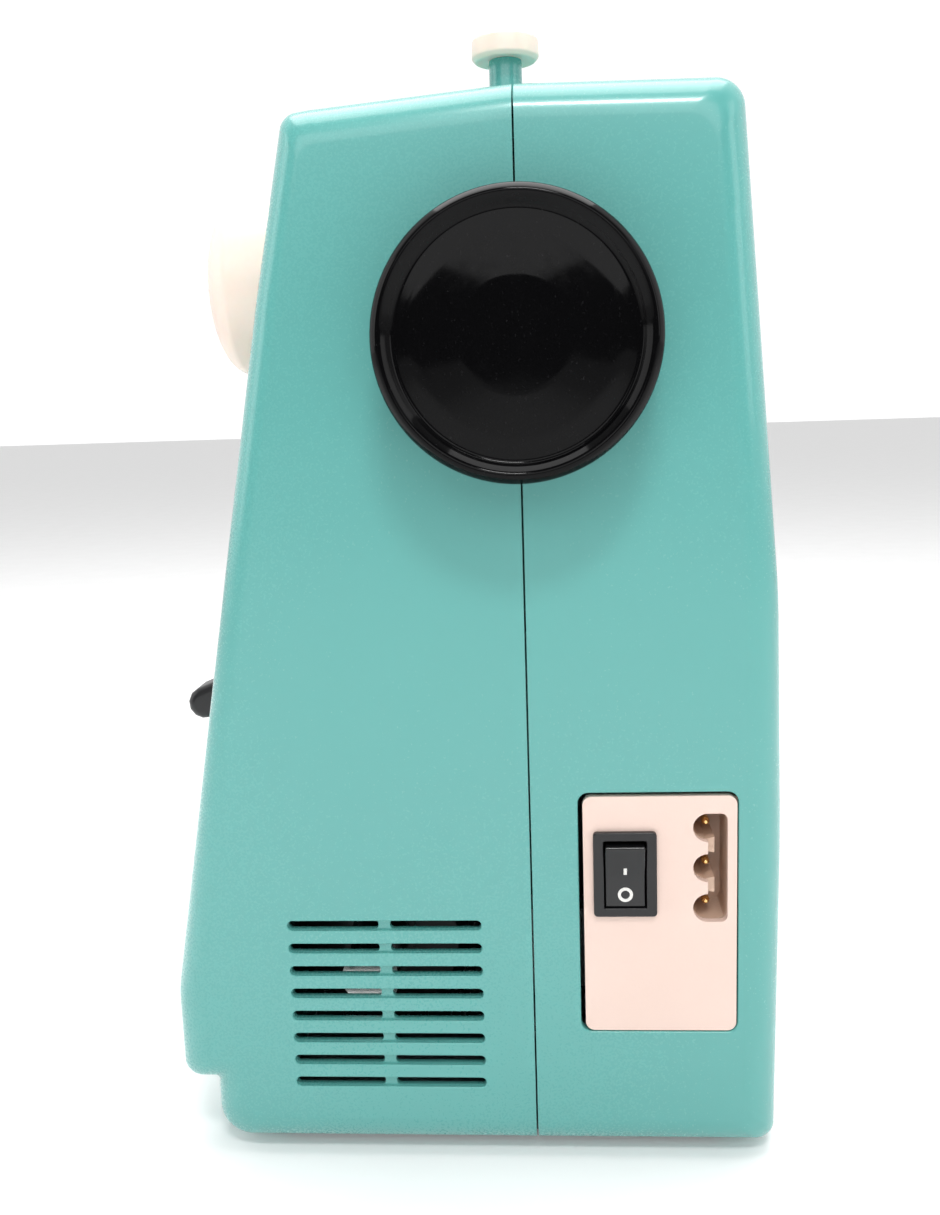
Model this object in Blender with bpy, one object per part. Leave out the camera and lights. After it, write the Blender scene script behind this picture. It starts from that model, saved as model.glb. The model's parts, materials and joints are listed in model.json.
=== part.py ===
"""Compact free-arm sewing machine, built as separate pieces.

All sizes are in millimetres until a mesh is finished. x runs along the machine and is 0 at the
handwheel end of the casing, y is 0 at the parting line of the covers (the front is -y), and z is 0
at the bottom of the casing. The empty "machine" puts the origin under the middle of the whole thing.
"""
import math

import bmesh
import bpy
from mathutils import Matrix, Vector

MM = 0.001

# Clearances
GAP = 0.3                    # between pieces that touch
PARTING_GAP = 0.5            # open joint line between the two covers
RUNNING = 0.3                # radial clearance round a shaft

# Casing
CASE_LENGTH = 310.0          # face cover to handwheel end
CASE_TOP = 253.6             # at the parting line
CASE_REAR = 60.2
CASE_FRONT = 90.5            # widest, across the bulge at the bed
WALL = 2.5
END_ROUND = 8.0
PILLAR_WIDTH = 95.0
HEAD_WIDTH = 72.0
FACE_COVER_WIDTH = 20.0
ARM_UNDERSIDE = 172.0
HEAD_UNDERSIDE = 112.0
BED_TOP = 68.0
SPACE_ROUND = 6.0
FOOT_HEIGHT = 2.0
FOOT_RADIUS = 8.0

# Half sections of the casing as (y, z, corner radius), from the top of the parting line down
FRONT_SECTION = [
    (-46.0, CASE_TOP - 3.4, 30.0), (-51.6, CASE_TOP - 4.0, 6.0), (-60.2, 209.0, 60.0),
    (-77.8, 112.0, 200.0), (-CASE_FRONT, 42.0, 20.0), (-CASE_FRONT, 16.2, 10.0),
    (-82.0, 16.2, 1.0), (-82.0, 0.0, 14.0)]
REAR_SECTION = [
    (50.3, CASE_TOP - 0.9, 6.0), (52.2, 229.0, 60.0), (59.6, 134.0, 120.0),
    (CASE_REAR, 80.0, 200.0), (59.3, 0.0, 4.0)]

# Free arm, base and extension table
ARM_FRONT = -38.0
ARM_REAR = 46.0
ARM_LEFT = -CASE_LENGTH + 10.0
BASE_FRONT = -68.0
BASE_REAR = 50.0
BASE_THICKNESS = 3.2
TABLE_WALL = 2.2

# Drive line
SHAFT_Z = 197.8
SHAFT_RADIUS = 5.0
WHEEL_RADIUS = 30.8
WHEEL_FACE = 20.0            # outer face of the handwheel
WHEEL_BACK = 1.6
CRANK_RADIUS = 14.5
CRANK_PIN_RADIUS = 2.0
LINK_LENGTH = 34.0
LOWER_Z = 34.0
LOWER_RADIUS = 4.0
TIMING_RADIUS = 11.5
BELT_THICKNESS = 1.5
MOTOR_Y = -42.0
MOTOR_Z = 40.0
MOTOR_RADIUS = 24.0
MOTOR_PULLEY_RADIUS = 6.0
MOTOR_X = (-84.0, -30.0)      # from and to, with its end bosses
WHEEL_PULLEY_RADIUS = 22.0
FRAME_FRONT = 18.5
FRAME_REAR = 38.0
BUSH_WALL = 3.0
LUG_WIDTH = 10.0

# Stitching parts
NEEDLE_X = -CASE_LENGTH + HEAD_WIDTH / 2      # middle of the head
NEEDLE_BAR_RADIUS = 3.2
PRESSER_Y = 11.5
PRESSER_RADIUS = 3.0
HOOK_Y = -16.0
HOOK_RADIUS = 14.5
BOBBIN_RADIUS = 10.2
PLATE_THICKNESS = 1.7
PLATE_HALF_WIDTH = 22.0      # needle plate and bobbin cover, along x
PLATE_REAR = 38.0
PLATE_SPLIT = -8.3           # between needle plate and bobbin cover
PLATE_FRONT = -34.0
LUG_PLACES = (-48.0, NEEDLE_X + 29.0)
SPRING = (146.0, 176.0)      # lower and upper end of the presser spring
TAKE_UP_PIVOT = (-20.0, 205.0)
TAKE_UP_TIP = (-74.0, 228.0)
LIFTER_X = NEEDLE_X + 24.0
LIFTER_Y = 26.0
LIFTER_Z = 124.0
LIFTER_END = 88.0
FACE_HINGE = (-CASE_LENGTH + FACE_COVER_WIDTH - GAP, CASE_REAR + 0.4, 180.0)

# Controls
DIAL_X = -50.0
DIAL_Z = 216.0
DIAL_RADIUS = 22.2
DIAL_FRONT = -80.6
TENSION_X = NEEDLE_X + 18.0
TENSION_Z = 192.0
TENSION_RADIUS = 11.0
LEVER_X = -52.0
LEVER_WIDTH = 12.0
LEVER_PIVOT = (-62.0, 116.0)
LEVER_TIP = (-91.2, 104.4)
LEVER_THICKNESS = 9.0
STOP_X = -30.0
STOP_Y = -2.1
STOP_RADIUS = 8.0
STOP_TOP = CASE_TOP + 16.1
SPINDLE_X = -62.0
SPINDLE_Y = -13.0
SPINDLE_RADIUS = 3.0
SPINDLE_TRAVEL = 5.0
SPOOL_X = -165.0
SPOOL_Y = 43.0
SPOOL_RADIUS = 2.5
HANDLE_LEFT = NEEDLE_X + 34.0
HANDLE_RIGHT = -100.0
HANDLE_Y = 8.0
HANDLE_Z = CASE_TOP + 5.4
HANDLE_NOSE = 3.2            # from its pin to the front end of an arm
HANDLE_DEPTH = 24.0
HANDLE_WIDTH = 9.0
HANDLE_BOSS = 4.0             # half the width of a boss on the rear cover

# Socket panel
PANEL = (12.45, 48.7, 32.5, 91.85)         # y from, y to, z from, z to
SWITCH = (14.8, 29.8, 62.3, 83.3)
SWITCH_FLANGE = 1.0
ROCKER = (9.6, 16.0)
ROCKER_REST_TILT = 7.0
INLET_Y = 41.9
INLET_PITCH = 10.0
INLET_Z = 73.95
INLET_LOBE = 3.5
INLET_REAR = 46.5
INLET_DEPTH = 14.0
PIN_RADIUS = 0.95
PANEL_FACE = -0.2             # just below the end wall's own face

# Ventilation slots
VENT = (-59.95, -12.4)
VENT_TOP = 59.7
VENT_PITCH = 5.9
VENT_ROWS = 8
VENT_HEIGHT = 2.1
VENT_RIB = 2.8

LEVER_TIP_ROUND = LEVER_THICKNESS / 2
FRONTMOST = LEVER_TIP[0] - LEVER_TIP_ROUND
MIDDLE = Vector(((WHEEL_FACE - CASE_LENGTH) / 2, (CASE_REAR + FRONTMOST) / 2, -FOOT_HEIGHT))

MATERIALS = {
    'teal_plastic': ((0.16, 0.52, 0.48), 0.25, 0.0),
    'cream_plastic': ((0.90, 0.80, 0.74), 0.35, 0.0),
    'white_plastic': ((0.90, 0.86, 0.82), 0.3, 0.0),
    'black_plastic': ((0.01, 0.01, 0.01), 0.15, 0.0),
    'grey_plastic': ((0.30, 0.31, 0.32), 0.45, 0.0),
    'cast_aluminium': ((0.60, 0.61, 0.62), 0.5, 1.0),
    'steel': ((0.66, 0.66, 0.65), 0.28, 1.0),
    'brass': ((0.85, 0.56, 0.22), 0.25, 1.0),
    'sintered_bronze': ((0.55, 0.36, 0.20), 0.5, 1.0),
    'rubber': ((0.03, 0.03, 0.03), 0.8, 0.0),
    'clear_plastic': ((0.80, 0.84, 0.85), 0.1, 0.0),
}


def clear_scene():
    for item in list(bpy.data.objects):
        bpy.data.objects.remove(item, do_unlink=True)


def make_materials():
    made = {}
    for name, (colour, roughness, metallic) in MATERIALS.items():
        material = bpy.data.materials.new(name)
        material.use_nodes = True
        shader = material.node_tree.nodes['Principled BSDF']
        shader.inputs['Base Color'].default_value = (*colour, 1.0)
        shader.inputs['Roughness'].default_value = roughness
        shader.inputs['Metallic'].default_value = metallic
        made[name] = material
    return made


clear_scene()
FINISH = make_materials()
machine = bpy.data.objects.new('machine', None)
machine.location = -MIDDLE * MM
bpy.context.scene.collection.objects.link(machine)


# ---------------------------------------------------------------- shape helpers

def add_object(name, bm, finish, pivot=(0, 0, 0)):
    """Finish a mesh made in casing coordinates as an object whose origin is its pivot."""
    bmesh.ops.translate(bm, vec=-Vector(pivot), verts=bm.verts)
    bmesh.ops.scale(bm, vec=(MM, MM, MM), verts=bm.verts)
    bmesh.ops.recalc_face_normals(bm, faces=bm.faces)
    mesh = bpy.data.meshes.new(name)
    bm.to_mesh(mesh)
    bm.free()
    mesh.shade_smooth()
    mesh.set_sharp_from_angle(angle=math.radians(35))
    mesh.materials.append(FINISH[finish])
    obj = bpy.data.objects.new(name, mesh)
    obj.location = Vector(pivot) * MM
    obj.parent = machine
    bpy.context.scene.collection.objects.link(obj)
    return obj


def add_cutter(name, bm):
    cutter = add_object(name, bm, 'steel')
    cutter.display_type = 'WIRE'
    cutter.hide_render = True
    return cutter


def boolean(obj, cutter, operation='DIFFERENCE'):
    modifier = obj.modifiers.new(cutter.name, 'BOOLEAN')
    modifier.operation = operation
    modifier.solver = 'EXACT'
    modifier.object = cutter


def cut(obj, bm, name):
    boolean(obj, add_cutter(name, bm))


def weld(obj, bm, name):
    boolean(obj, add_cutter(name, bm), 'UNION')


def round_corners(points, step=30.0):
    """Outline through (u, v, radius) corners, each rounded by an arc of its radius."""
    outline = []
    for index, (u, v, radius) in enumerate(points):
        corner = Vector((u, v))
        if radius == 0:
            outline.append(corner)
            continue
        before = Vector(points[index - 1][:2]) - corner
        after = Vector(points[(index + 1) % len(points)][:2]) - corner
        half = before.angle(after) / 2
        reach = min(radius / math.tan(half), before.length * 0.49, after.length * 0.49)
        radius = reach * math.tan(half)
        centre = corner + (before.normalized() + after.normalized()).normalized() * radius / math.sin(half)
        start = corner + before.normalized() * reach - centre
        turn = start.angle_signed(corner + after.normalized() * reach - centre)
        count = max(1, math.ceil(math.degrees(abs(turn)) / step))
        for arc in range(count + 1):
            spoke = start.copy()
            spoke.rotate(Matrix.Rotation(-turn * arc / count, 2))
            outline.append(centre + spoke)
    return outline


def rectangle(u0, u1, v0, v1, radius=0.0):
    return [(u0, v0, radius), (u1, v0, radius), (u1, v1, radius), (u0, v1, radius)]


def to_space(axis, u, v, along):
    """Point with (u, v) across the axis: x takes (y, z), y takes (x, z) and z takes (x, y)."""
    return {'x': (along, u, v), 'y': (u, along, v), 'z': (u, v, along)}[axis]


def prism(axis, outline, start, end, bm=None):
    """Extrude an outline of 2D points along an axis."""
    bm = bm or bmesh.new()
    face = bm.faces.new([bm.verts.new(to_space(axis, p[0], p[1], start)) for p in outline])
    extruded = bmesh.ops.extrude_face_region(bm, geom=[face])
    moved = [item for item in extruded['geom'] if isinstance(item, bmesh.types.BMVert)]
    bmesh.ops.translate(bm, vec=Vector(to_space(axis, 0, 0, end - start)), verts=moved)
    return bm


def block(x0, x1, y0, y1, z0, z1, bm=None):
    return prism('z', [(x0, y0), (x1, y0), (x1, y1), (x0, y1)], z0, z1, bm)


def rod(axis, u, v, radius, start, end, sides=16, bm=None):
    outline = []
    for side in range(sides):
        angle = math.tau * side / sides
        outline.append((u + radius * math.cos(angle), v + radius * math.sin(angle)))
    return prism(axis, outline, start, end, bm)


def turned(axis, u, v, profile, sides=24, closed=False):
    """Turn a profile of (radius, along) points about an axis through (u, v)."""
    bm = bmesh.new()
    verts = [bm.verts.new(to_space(axis, radius, 0, along)) for radius, along in profile]
    edges = [bm.edges.new(pair) for pair in zip(verts, verts[1:])]
    if closed:
        edges.append(bm.edges.new((verts[-1], verts[0])))
    turn = Vector(to_space(axis, 0, 0, 1))
    bmesh.ops.spin(bm, geom=verts + edges, cent=(0, 0, 0), axis=turn, dvec=(0, 0, 0),
                   angle=math.tau, steps=sides, use_merge=True, use_duplicate=False)
    bmesh.ops.remove_doubles(bm, verts=bm.verts, dist=0.001)
    bmesh.ops.translate(bm, vec=Vector(to_space(axis, u, v, 0)), verts=bm.verts)
    return bm


def ring(axis, u, v, inner, outer, start, end, sides=24):
    return turned(axis, u, v, [(inner, start), (outer, start), (outer, end), (inner, end)],
                  sides, closed=True)


def bar(a, b, radius, step=30.0):
    """Outline of a straight bar with round ends at points a and b."""
    a = Vector(a)
    b = Vector(b)
    heading = math.atan2(b.y - a.y, b.x - a.x)
    count = round(180 / step)
    outline = []
    for end, offset in ((b, -90), (a, 90)):
        for arc in range(count + 1):
            angle = heading + math.radians(offset + 180 * arc / count)
            outline.append(end + radius * Vector((math.cos(angle), math.sin(angle))))
    return outline


def inset_corners(corners, inset):
    """Move each side of a polygon inwards; the corners run clockwise as (u, v, radius)."""
    moved = []
    count = len(corners)
    for index, (u, v, radius) in enumerate(corners):
        here = Vector((u, v))
        along_in = (here - Vector(corners[index - 1][:2])).normalized()
        along_out = (Vector(corners[(index + 1) % count][:2]) - here).normalized()
        normal_in = Vector((-along_in.y, along_in.x))
        normal_out = Vector((-along_out.y, along_out.x))
        shift = (normal_in + normal_out) * inset / (1 + normal_in.dot(normal_out))
        moved.append((u + shift.x, v + shift.y, max(radius - inset, 0.8) if radius else 0.0))
    return moved


# ---------------------------------------------------------------- casing

def half_section(side, inset=0.0):
    """Corners of one half of the casing section, closed along the parting line."""
    top = CASE_TOP if side == 'front' else CASE_TOP - 0.1
    section = FRONT_SECTION if side == 'front' else REAR_SECTION
    sign = -1 if side == 'front' else 1
    corners = [(0.0, top, 0.0)] + section + [(0.0, 0.0, 0.0)]
    turned_corners = inset_corners(corners if sign > 0 else corners[::-1], -inset)
    parting = sign * PARTING_GAP / 2 if inset == 0 else -sign * 5.0
    outline = []
    for u, v, radius in turned_corners:
        at_parting = abs(u) <= inset + 0.01
        outline.append((parting if at_parting else u, v, radius))
    return outline


def casing_half(side, inset, left, right):
    """Closed solid of one half of the casing, with its right end rounded over."""
    section = round_corners(half_section(side, inset))
    deepest = CASE_FRONT if side == 'front' else CASE_REAR
    radius = END_ROUND - inset
    stations = []
    for step in range(4):
        angle = math.radians(30 * step)
        stations.append((radius * (1 - math.sin(angle)), radius * (1 - math.cos(angle))))
    rings = [(right - back, shrink) for shrink, back in stations] + [(left, 0.0)]
    bm = bmesh.new()
    loops = []
    for x, shrink in rings:
        loop = []
        for point in section:
            y = point.x * (1 - shrink / deepest)
            if abs(point.x) <= 5.01:
                y = point.x
            z = CASE_TOP / 2 + (point.y - CASE_TOP / 2) * (1 - 2 * shrink / CASE_TOP)
            loop.append(bm.verts.new((x, y, z)))
        loops.append(loop)
    bm.faces.new(loops[0])
    bm.faces.new(loops[-1])
    for loop, following in zip(loops, loops[1:]):
        for index in range(len(loop)):
            bm.faces.new((loop[index - 1], loop[index], following[index], following[index - 1]))
    return bm


def work_space(grow):
    """The open space left of the pillar and below the arm and the head."""
    pillar = -PILLAR_WIDTH + grow
    head = HEAD_WIDTH - CASE_LENGTH - grow
    far = -CASE_LENGTH - 20
    corners = [
        (pillar, -20, 0), (pillar, ARM_UNDERSIDE + grow, SPACE_ROUND + grow),
        (head, ARM_UNDERSIDE + grow, SPACE_ROUND + grow),
        (head, HEAD_UNDERSIDE + grow, max(SPACE_ROUND - grow, 1)),
        (far, HEAD_UNDERSIDE + grow, 0), (far, -20, 0)]
    return prism('y', round_corners(corners), -130, 130)


def base_outline(grow=0.0):
    return round_corners(rectangle(ARM_LEFT + 6 - grow, -END_ROUND + grow,
                                   BASE_FRONT - grow, BASE_REAR + grow, 8))


def make_cover(side):
    left = -CASE_LENGTH + FACE_COVER_WIDTH
    cover = add_object(side + '_cover', casing_half(side, 0, left, 0), 'teal_plastic')
    cut(cover, work_space(0), side + '_work_space')
    hollow = add_cutter(side + '_hollow', casing_half(side, WALL, left - 10, -WALL))
    cut(hollow, work_space(WALL), side + '_hollow_space')
    boolean(cover, hollow)
    cut(cover, prism('z', base_outline(GAP), -5, BASE_THICKNESS + 1), side + '_base_hole')
    joint = block(-PILLAR_WIDTH - 3, -PILLAR_WIDTH + WALL + 2, ARM_FRONT + WALL + 1, ARM_REAR - WALL - 1,
                  -5, BED_TOP - WALL - 1)
    cut(cover, joint, side + '_arm_joint')
    bars = block(NEEDLE_X - 8, NEEDLE_X + 14, -8, PRESSER_Y + 6,
                 HEAD_UNDERSIDE - 5, HEAD_UNDERSIDE + WALL + 2)
    cut(cover, bars, side + '_bar_hole')
    cut(cover, rod('x', 0, SHAFT_Z, 12, -10, 10), side + '_shaft_hole')
    cut(cover, rod('z', STOP_X, STOP_Y, 2.3, CASE_TOP - 9, CASE_TOP + 6, 12), side + '_stop_hole')
    return cover


def vent_slots():
    """Cutter for the ventilation rows, each split in two by the middle rib."""
    bm = bmesh.new()
    middle = (VENT[0] + VENT[1]) / 2
    radius = VENT_HEIGHT / 2
    for row in range(VENT_ROWS):
        z = VENT_TOP - row * VENT_PITCH
        for start, end in ((VENT[0], middle - VENT_RIB / 2), (middle + VENT_RIB / 2, VENT[1])):
            outline = round_corners(rectangle(start, end, z - radius, z + radius, radius * 0.98), 90)
            prism('x', outline, -WALL - 3, 5, bm)
    return bm


def take_up_slot():
    return block(NEEDLE_X - 12.4, NEEDLE_X - 5.4, -CASE_FRONT, TAKE_UP_TIP[0] + 29, 166, TAKE_UP_TIP[1] + 12)


def front_cover():
    cover = make_cover('front')
    cut(cover, vent_slots(), 'vent_cutter')
    cut(cover, rod('y', DIAL_X, DIAL_Z, DIAL_RADIUS + 0.5, -100, -40, 32), 'dial_hole')
    half = LEVER_WIDTH / 2 + 0.8
    cut(cover, block(LEVER_X - half, LEVER_X + half, -95, -68, 93, 121), 'lever_slot')
    cut(cover, rod('y', TENSION_X, TENSION_Z, 4.0, -90, -45, 12), 'tension_hole')
    cut(cover, take_up_slot(), 'take_up_slot')
    outline = bar((SPINDLE_X, SPINDLE_Y), (SPINDLE_X + SPINDLE_TRAVEL, SPINDLE_Y), SPINDLE_RADIUS + 0.6)
    cut(cover, prism('z', outline, CASE_TOP - 9, CASE_TOP + 6), 'spindle_slot')
    cut(cover, prism('z', lamp_outline(GAP), HEAD_UNDERSIDE - 5, HEAD_UNDERSIDE + 5), 'lamp_hole')


def rear_cover():
    cover = make_cover('rear')
    y0, y1, z0, z1 = PANEL
    opening = round_corners(rectangle(y0 - 1.1, y1 + 0.3, z0 - 0.3, z1 + 0.95, 2.4))
    cut(cover, prism('x', opening, -6, 5), 'panel_opening')
    spool = rod('z', SPOOL_X, SPOOL_Y, SPOOL_RADIUS + RUNNING, CASE_TOP - 9, CASE_TOP + 6, 12)
    cut(cover, spool, 'spool_hole')
    slot = block(LIFTER_X - 17, LIFTER_X + 4.5, LIFTER_Y - 1, LIFTER_Y + 6, 105, 116)
    cut(cover, slot, 'lifter_slot')
    low = CASE_TOP - 1.8
    for index, x in enumerate((HANDLE_LEFT - 6, HANDLE_RIGHT + 6)):
        foot = round_corners([(HANDLE_Y - 6, low, 0), (HANDLE_Y + 6, low, 0),
                              (HANDLE_Y + 6, HANDLE_Z + 6, 5), (HANDLE_Y - 6, HANDLE_Z + 6, 5)])
        weld(cover, prism('x', foot, x - HANDLE_BOSS, x + HANDLE_BOSS), 'handle_boss_%d' % index)
        cut(cover, rod('x', HANDLE_Y, HANDLE_Z, 2.3, x - 5, x + 5, 12), 'handle_bore_%d' % index)


def face_cover():
    """Cap over the left end of the head, hinged along its rear edge."""
    right = -CASE_LENGTH + FACE_COVER_WIDTH - GAP
    cover = add_object('face_cover', whole_section(0, -CASE_LENGTH, right), 'teal_plastic', FACE_HINGE)
    cut(cover, whole_section(WALL, -CASE_LENGTH + WALL, right + 20), 'face_hollow')
    return cover


def whole_section(inset, left, right):
    """Full section of the head, from front to rear, with its left end rounded over."""
    low = HEAD_UNDERSIDE + inset
    front_low = edge_y(FRONT_SECTION, low)
    rear_low = edge_y(REAR_SECTION, low)
    corners = [(0.0, CASE_TOP, 0.0)] + REAR_SECTION[:2] + [(rear_low, HEAD_UNDERSIDE, 5.0)]
    corners += [(front_low, HEAD_UNDERSIDE, 5.0)] + FRONT_SECTION[2::-1]
    outline = round_corners(inset_corners(corners, -inset))
    radius = END_ROUND - inset
    middle = (CASE_TOP + HEAD_UNDERSIDE) / 2
    bm = bmesh.new()
    loops = []
    for step in range(5):
        angle = math.radians(30 * min(step, 3))
        shrink = radius * (1 - math.sin(angle))
        x = left + radius * (1 - math.cos(angle)) if step < 4 else right
        scale = 1 - shrink / 60
        loops.append([bm.verts.new((x, p.x * scale, middle + (p.y - middle) * scale)) for p in outline])
    bm.faces.new(loops[0])
    bm.faces.new(loops[-1])
    for loop, following in zip(loops, loops[1:]):
        for index in range(len(loop)):
            bm.faces.new((loop[index - 1], loop[index], following[index], following[index - 1]))
    return bm


def edge_y(section, z):
    """Depth of a half section's straight side at height z."""
    for (y0, z0, _), (y1, z1, _) in zip(section, section[1:]):
        if z1 <= z <= z0:
            return y0 + (y1 - y0) * (z0 - z) / (z0 - z1)
    return section[-1][0]


def base_plate():
    add_object('base_plate', prism('z', base_outline(), GAP, BASE_THICKNESS), 'grey_plastic')
    places = ((ARM_LEFT + 22, BASE_FRONT + 16), (ARM_LEFT + 22, BASE_REAR - 16),
              (-END_ROUND - 16, BASE_FRONT + 16), (-END_ROUND - 16, BASE_REAR - 16))
    for index, (x, y) in enumerate(places, 1):
        foot = turned('z', x, y, [(0, -FOOT_HEIGHT), (FOOT_RADIUS - 0.6, -FOOT_HEIGHT),
                                  (FOOT_RADIUS, -FOOT_HEIGHT + 0.6), (FOOT_RADIUS, 0), (0, 0)], 20)
        add_object('rubber_foot_%d' % index, foot, 'rubber')


def free_arm_cover():
    right = -PILLAR_WIDTH - GAP
    low = BASE_THICKNESS + GAP
    bm = prism('z', round_corners([(ARM_LEFT, ARM_FRONT, 14), (right, ARM_FRONT, 0), (right, ARM_REAR, 0),
                                   (ARM_LEFT, ARM_REAR, 14)]), low, BED_TOP)
    top_edges = [e for e in bm.edges if all(v.co.z > BED_TOP - 0.01 for v in e.verts)
                 and not all(v.co.x > right - 0.01 for v in e.verts)]
    bmesh.ops.bevel(bm, geom=top_edges, offset=3.0, segments=2, profile=0.5, affect='EDGES', material=-1)
    cover = add_object('free_arm_cover', bm, 'teal_plastic')
    hollow = round_corners([(ARM_LEFT + WALL, ARM_FRONT + WALL, 11), (right + 5, ARM_FRONT + WALL, 0),
                            (right + 5, ARM_REAR - WALL, 0), (ARM_LEFT + WALL, ARM_REAR - WALL, 11)])
    cut(cover, prism('z', hollow, low - 5, BED_TOP - WALL), 'arm_hollow')
    opening = rectangle(NEEDLE_X - PLATE_HALF_WIDTH - GAP, NEEDLE_X + PLATE_HALF_WIDTH + GAP,
                        PLATE_FRONT - GAP, PLATE_REAR + GAP, 2.0)
    cut(cover, prism('z', round_corners(opening, 45), BED_TOP - 10, BED_TOP + 5), 'plate_opening')


def extension_table():
    """Hollow table in front of the free arm, open at its back, that pulls off to the left."""
    right = -PILLAR_WIDTH - GAP
    low = BASE_THICKNESS + GAP
    rear = ARM_FRONT - GAP
    front = [(edge_y(FRONT_SECTION, BED_TOP), BED_TOP, 3.0)] + FRONT_SECTION[4:7] + [(-82.0, low, 3.0)]
    corners = ([(rear, BED_TOP, 0.0)] + front + [(rear, low, 0.0)])[::-1]
    table = add_object('extension_table', prism('x', round_corners(corners), ARM_LEFT, right), 'teal_plastic')
    inner = [(u, v, r) for u, v, r in inset_corners(corners, -TABLE_WALL)]
    inner[0] = (rear + 5, inner[0][1], 0.0)
    inner[-1] = (rear + 5, inner[-1][1], 0.0)
    cut(table, prism('x', round_corners(inner), ARM_LEFT + TABLE_WALL, right - TABLE_WALL), 'table_hollow')
    cut(table, prism('z', base_outline(GAP), low - 3, low + 0.01), 'table_base_clear')


# ---------------------------------------------------------------- frame and drive

def frame_casting():
    """Cast C frame behind the shafts, with lugs that carry the bushes and the two bars."""
    low = BASE_THICKNESS + GAP
    right = -30.0
    left = NEEDLE_X - 14
    head = NEEDLE_X + 12
    column = -PILLAR_WIDTH + 7
    top = SHAFT_Z + 32.2
    beam = SHAFT_Z + 10.2
    foot = LOWER_Z - 8
    chin = HEAD_UNDERSIDE + 6
    corners = [
        (right, low, 4), (right, top, 6), (left, top, 6), (left, chin, 3), (head, chin, 3), (head, beam, 4),
        (column, beam, 8), (column, foot, 8), (left, foot, 3), (left, low, 3)]
    frame = add_object('frame_casting', prism('y', round_corners(corners, 45), FRAME_FRONT, FRAME_REAR),
                       'cast_aluminium')
    bush = SHAFT_RADIUS + RUNNING + BUSH_WALL
    for index, x in enumerate(LUG_PLACES):
        lug = block(x - LUG_WIDTH / 2, x + LUG_WIDTH / 2, -12, FRAME_FRONT + 4, SHAFT_Z - 13, SHAFT_Z + 13)
        weld(frame, lug, 'upper_lug_%d' % index)
        lug = block(x - LUG_WIDTH / 2, x + LUG_WIDTH / 2, -11, FRAME_FRONT + 4, LOWER_Z - 12, LOWER_Z + 11)
        weld(frame, lug, 'lower_lug_%d' % index)
        reach = LUG_WIDTH / 2 + 2
        cut(frame, rod('x', 0, SHAFT_Z, bush + GAP, x - reach, x + reach), 'upper_bore_%d' % index)
        bore = rod('x', 0, LOWER_Z, LOWER_RADIUS + RUNNING, x - reach, x + reach)
        cut(frame, bore, 'lower_bore_%d' % index)
        side = ('right', 'left')[index]
        half = LUG_WIDTH / 2
        sleeve = ring('x', 0, SHAFT_Z, SHAFT_RADIUS + RUNNING, bush, x - half, x + half, 16)
        add_object('shaft_bush_' + side, sleeve, 'sintered_bronze')
    low = HEAD_UNDERSIDE + 7
    weld(frame, block(NEEDLE_X - 10, NEEDLE_X + 9, -9, FRAME_FRONT + 4, low, low + 21), 'bar_guide')
    cut(frame, rod('z', NEEDLE_X, 0, NEEDLE_BAR_RADIUS + RUNNING, low - 9, low + 31), 'needle_bar_bore')
    cut(frame, rod('z', NEEDLE_X, PRESSER_Y, PRESSER_RADIUS + RUNNING, low - 9, low + 31), 'presser_bar_bore')
    weld(frame, block(NEEDLE_X - 12, NEEDLE_X + 12, HOOK_Y - 8, FRAME_FRONT + 4, 16, 22), 'hook_shelf')
    cut(frame, rod('z', NEEDLE_X, HOOK_Y, 3 + RUNNING, 10, 25, 12), 'hook_bore')


def handwheel():
    """Grip wheel with a domed face; fine ribs run round its edge."""
    face = WHEEL_FACE
    profile = [
        (0, face - 8), (SHAFT_RADIUS + GAP, face - 8), (SHAFT_RADIUS + GAP, WHEEL_BACK),
        (WHEEL_RADIUS - 3, WHEEL_BACK), (WHEEL_RADIUS - 1, WHEEL_BACK + 1), (WHEEL_RADIUS, WHEEL_BACK + 4),
        (WHEEL_RADIUS, face - 8), (WHEEL_RADIUS - 0.8, face - 4.5), (WHEEL_RADIUS - 3, face - 1.9),
        (WHEEL_RADIUS - 7, face - 0.8), (15, face - 0.2), (0, face)]
    add_object('handwheel', turned('x', 0, SHAFT_Z, profile, 48), 'black_plastic', (0, 0, SHAFT_Z))


def pulley(name, finish, u, v, bore, radius, flange, start, end, sides=24):
    profile = [(bore, start), (flange, start), (flange, start + 0.8), (radius, start + 1.4),
               (radius, end - 1.4), (flange, end - 0.8), (flange, end), (bore, end)]
    add_object(name, turned('x', u, v, profile, sides, closed=True), finish, (0, u, v))


def belt(name, a, radius_a, b, radius_b, start, end, thickness):
    """Flat belt round two wheels, as one loop with straight runs along the outer tangents."""
    a = Vector(a)
    b = Vector(b)
    heading = math.atan2(b.y - a.y, b.x - a.x)
    lean = math.acos((radius_a - radius_b) / (b - a).length)
    count = 14
    loops = []
    for extra in (0, thickness):
        points = []
        for centre, radius, first, last in ((b, radius_b, heading - lean, heading + lean),
                                            (a, radius_a, heading + lean, heading - lean + math.tau)):
            for arc in range(count + 1):
                angle = first + (last - first) * arc / count
                points.append(centre + (radius + extra) * Vector((math.cos(angle), math.sin(angle))))
        loops.append(points)
    bm = bmesh.new()
    rings = []
    for x, points in ((start, loops[0]), (start, loops[1]), (end, loops[1]), (end, loops[0])):
        rings.append([bm.verts.new((x, p.x, p.y)) for p in points])
    for index, loop in enumerate(rings):
        following = rings[(index + 1) % 4]
        for corner in range(len(loop)):
            bm.faces.new((loop[corner - 1], loop[corner], following[corner], following[corner - 1]))
    add_object(name, bm, 'rubber')


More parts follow.
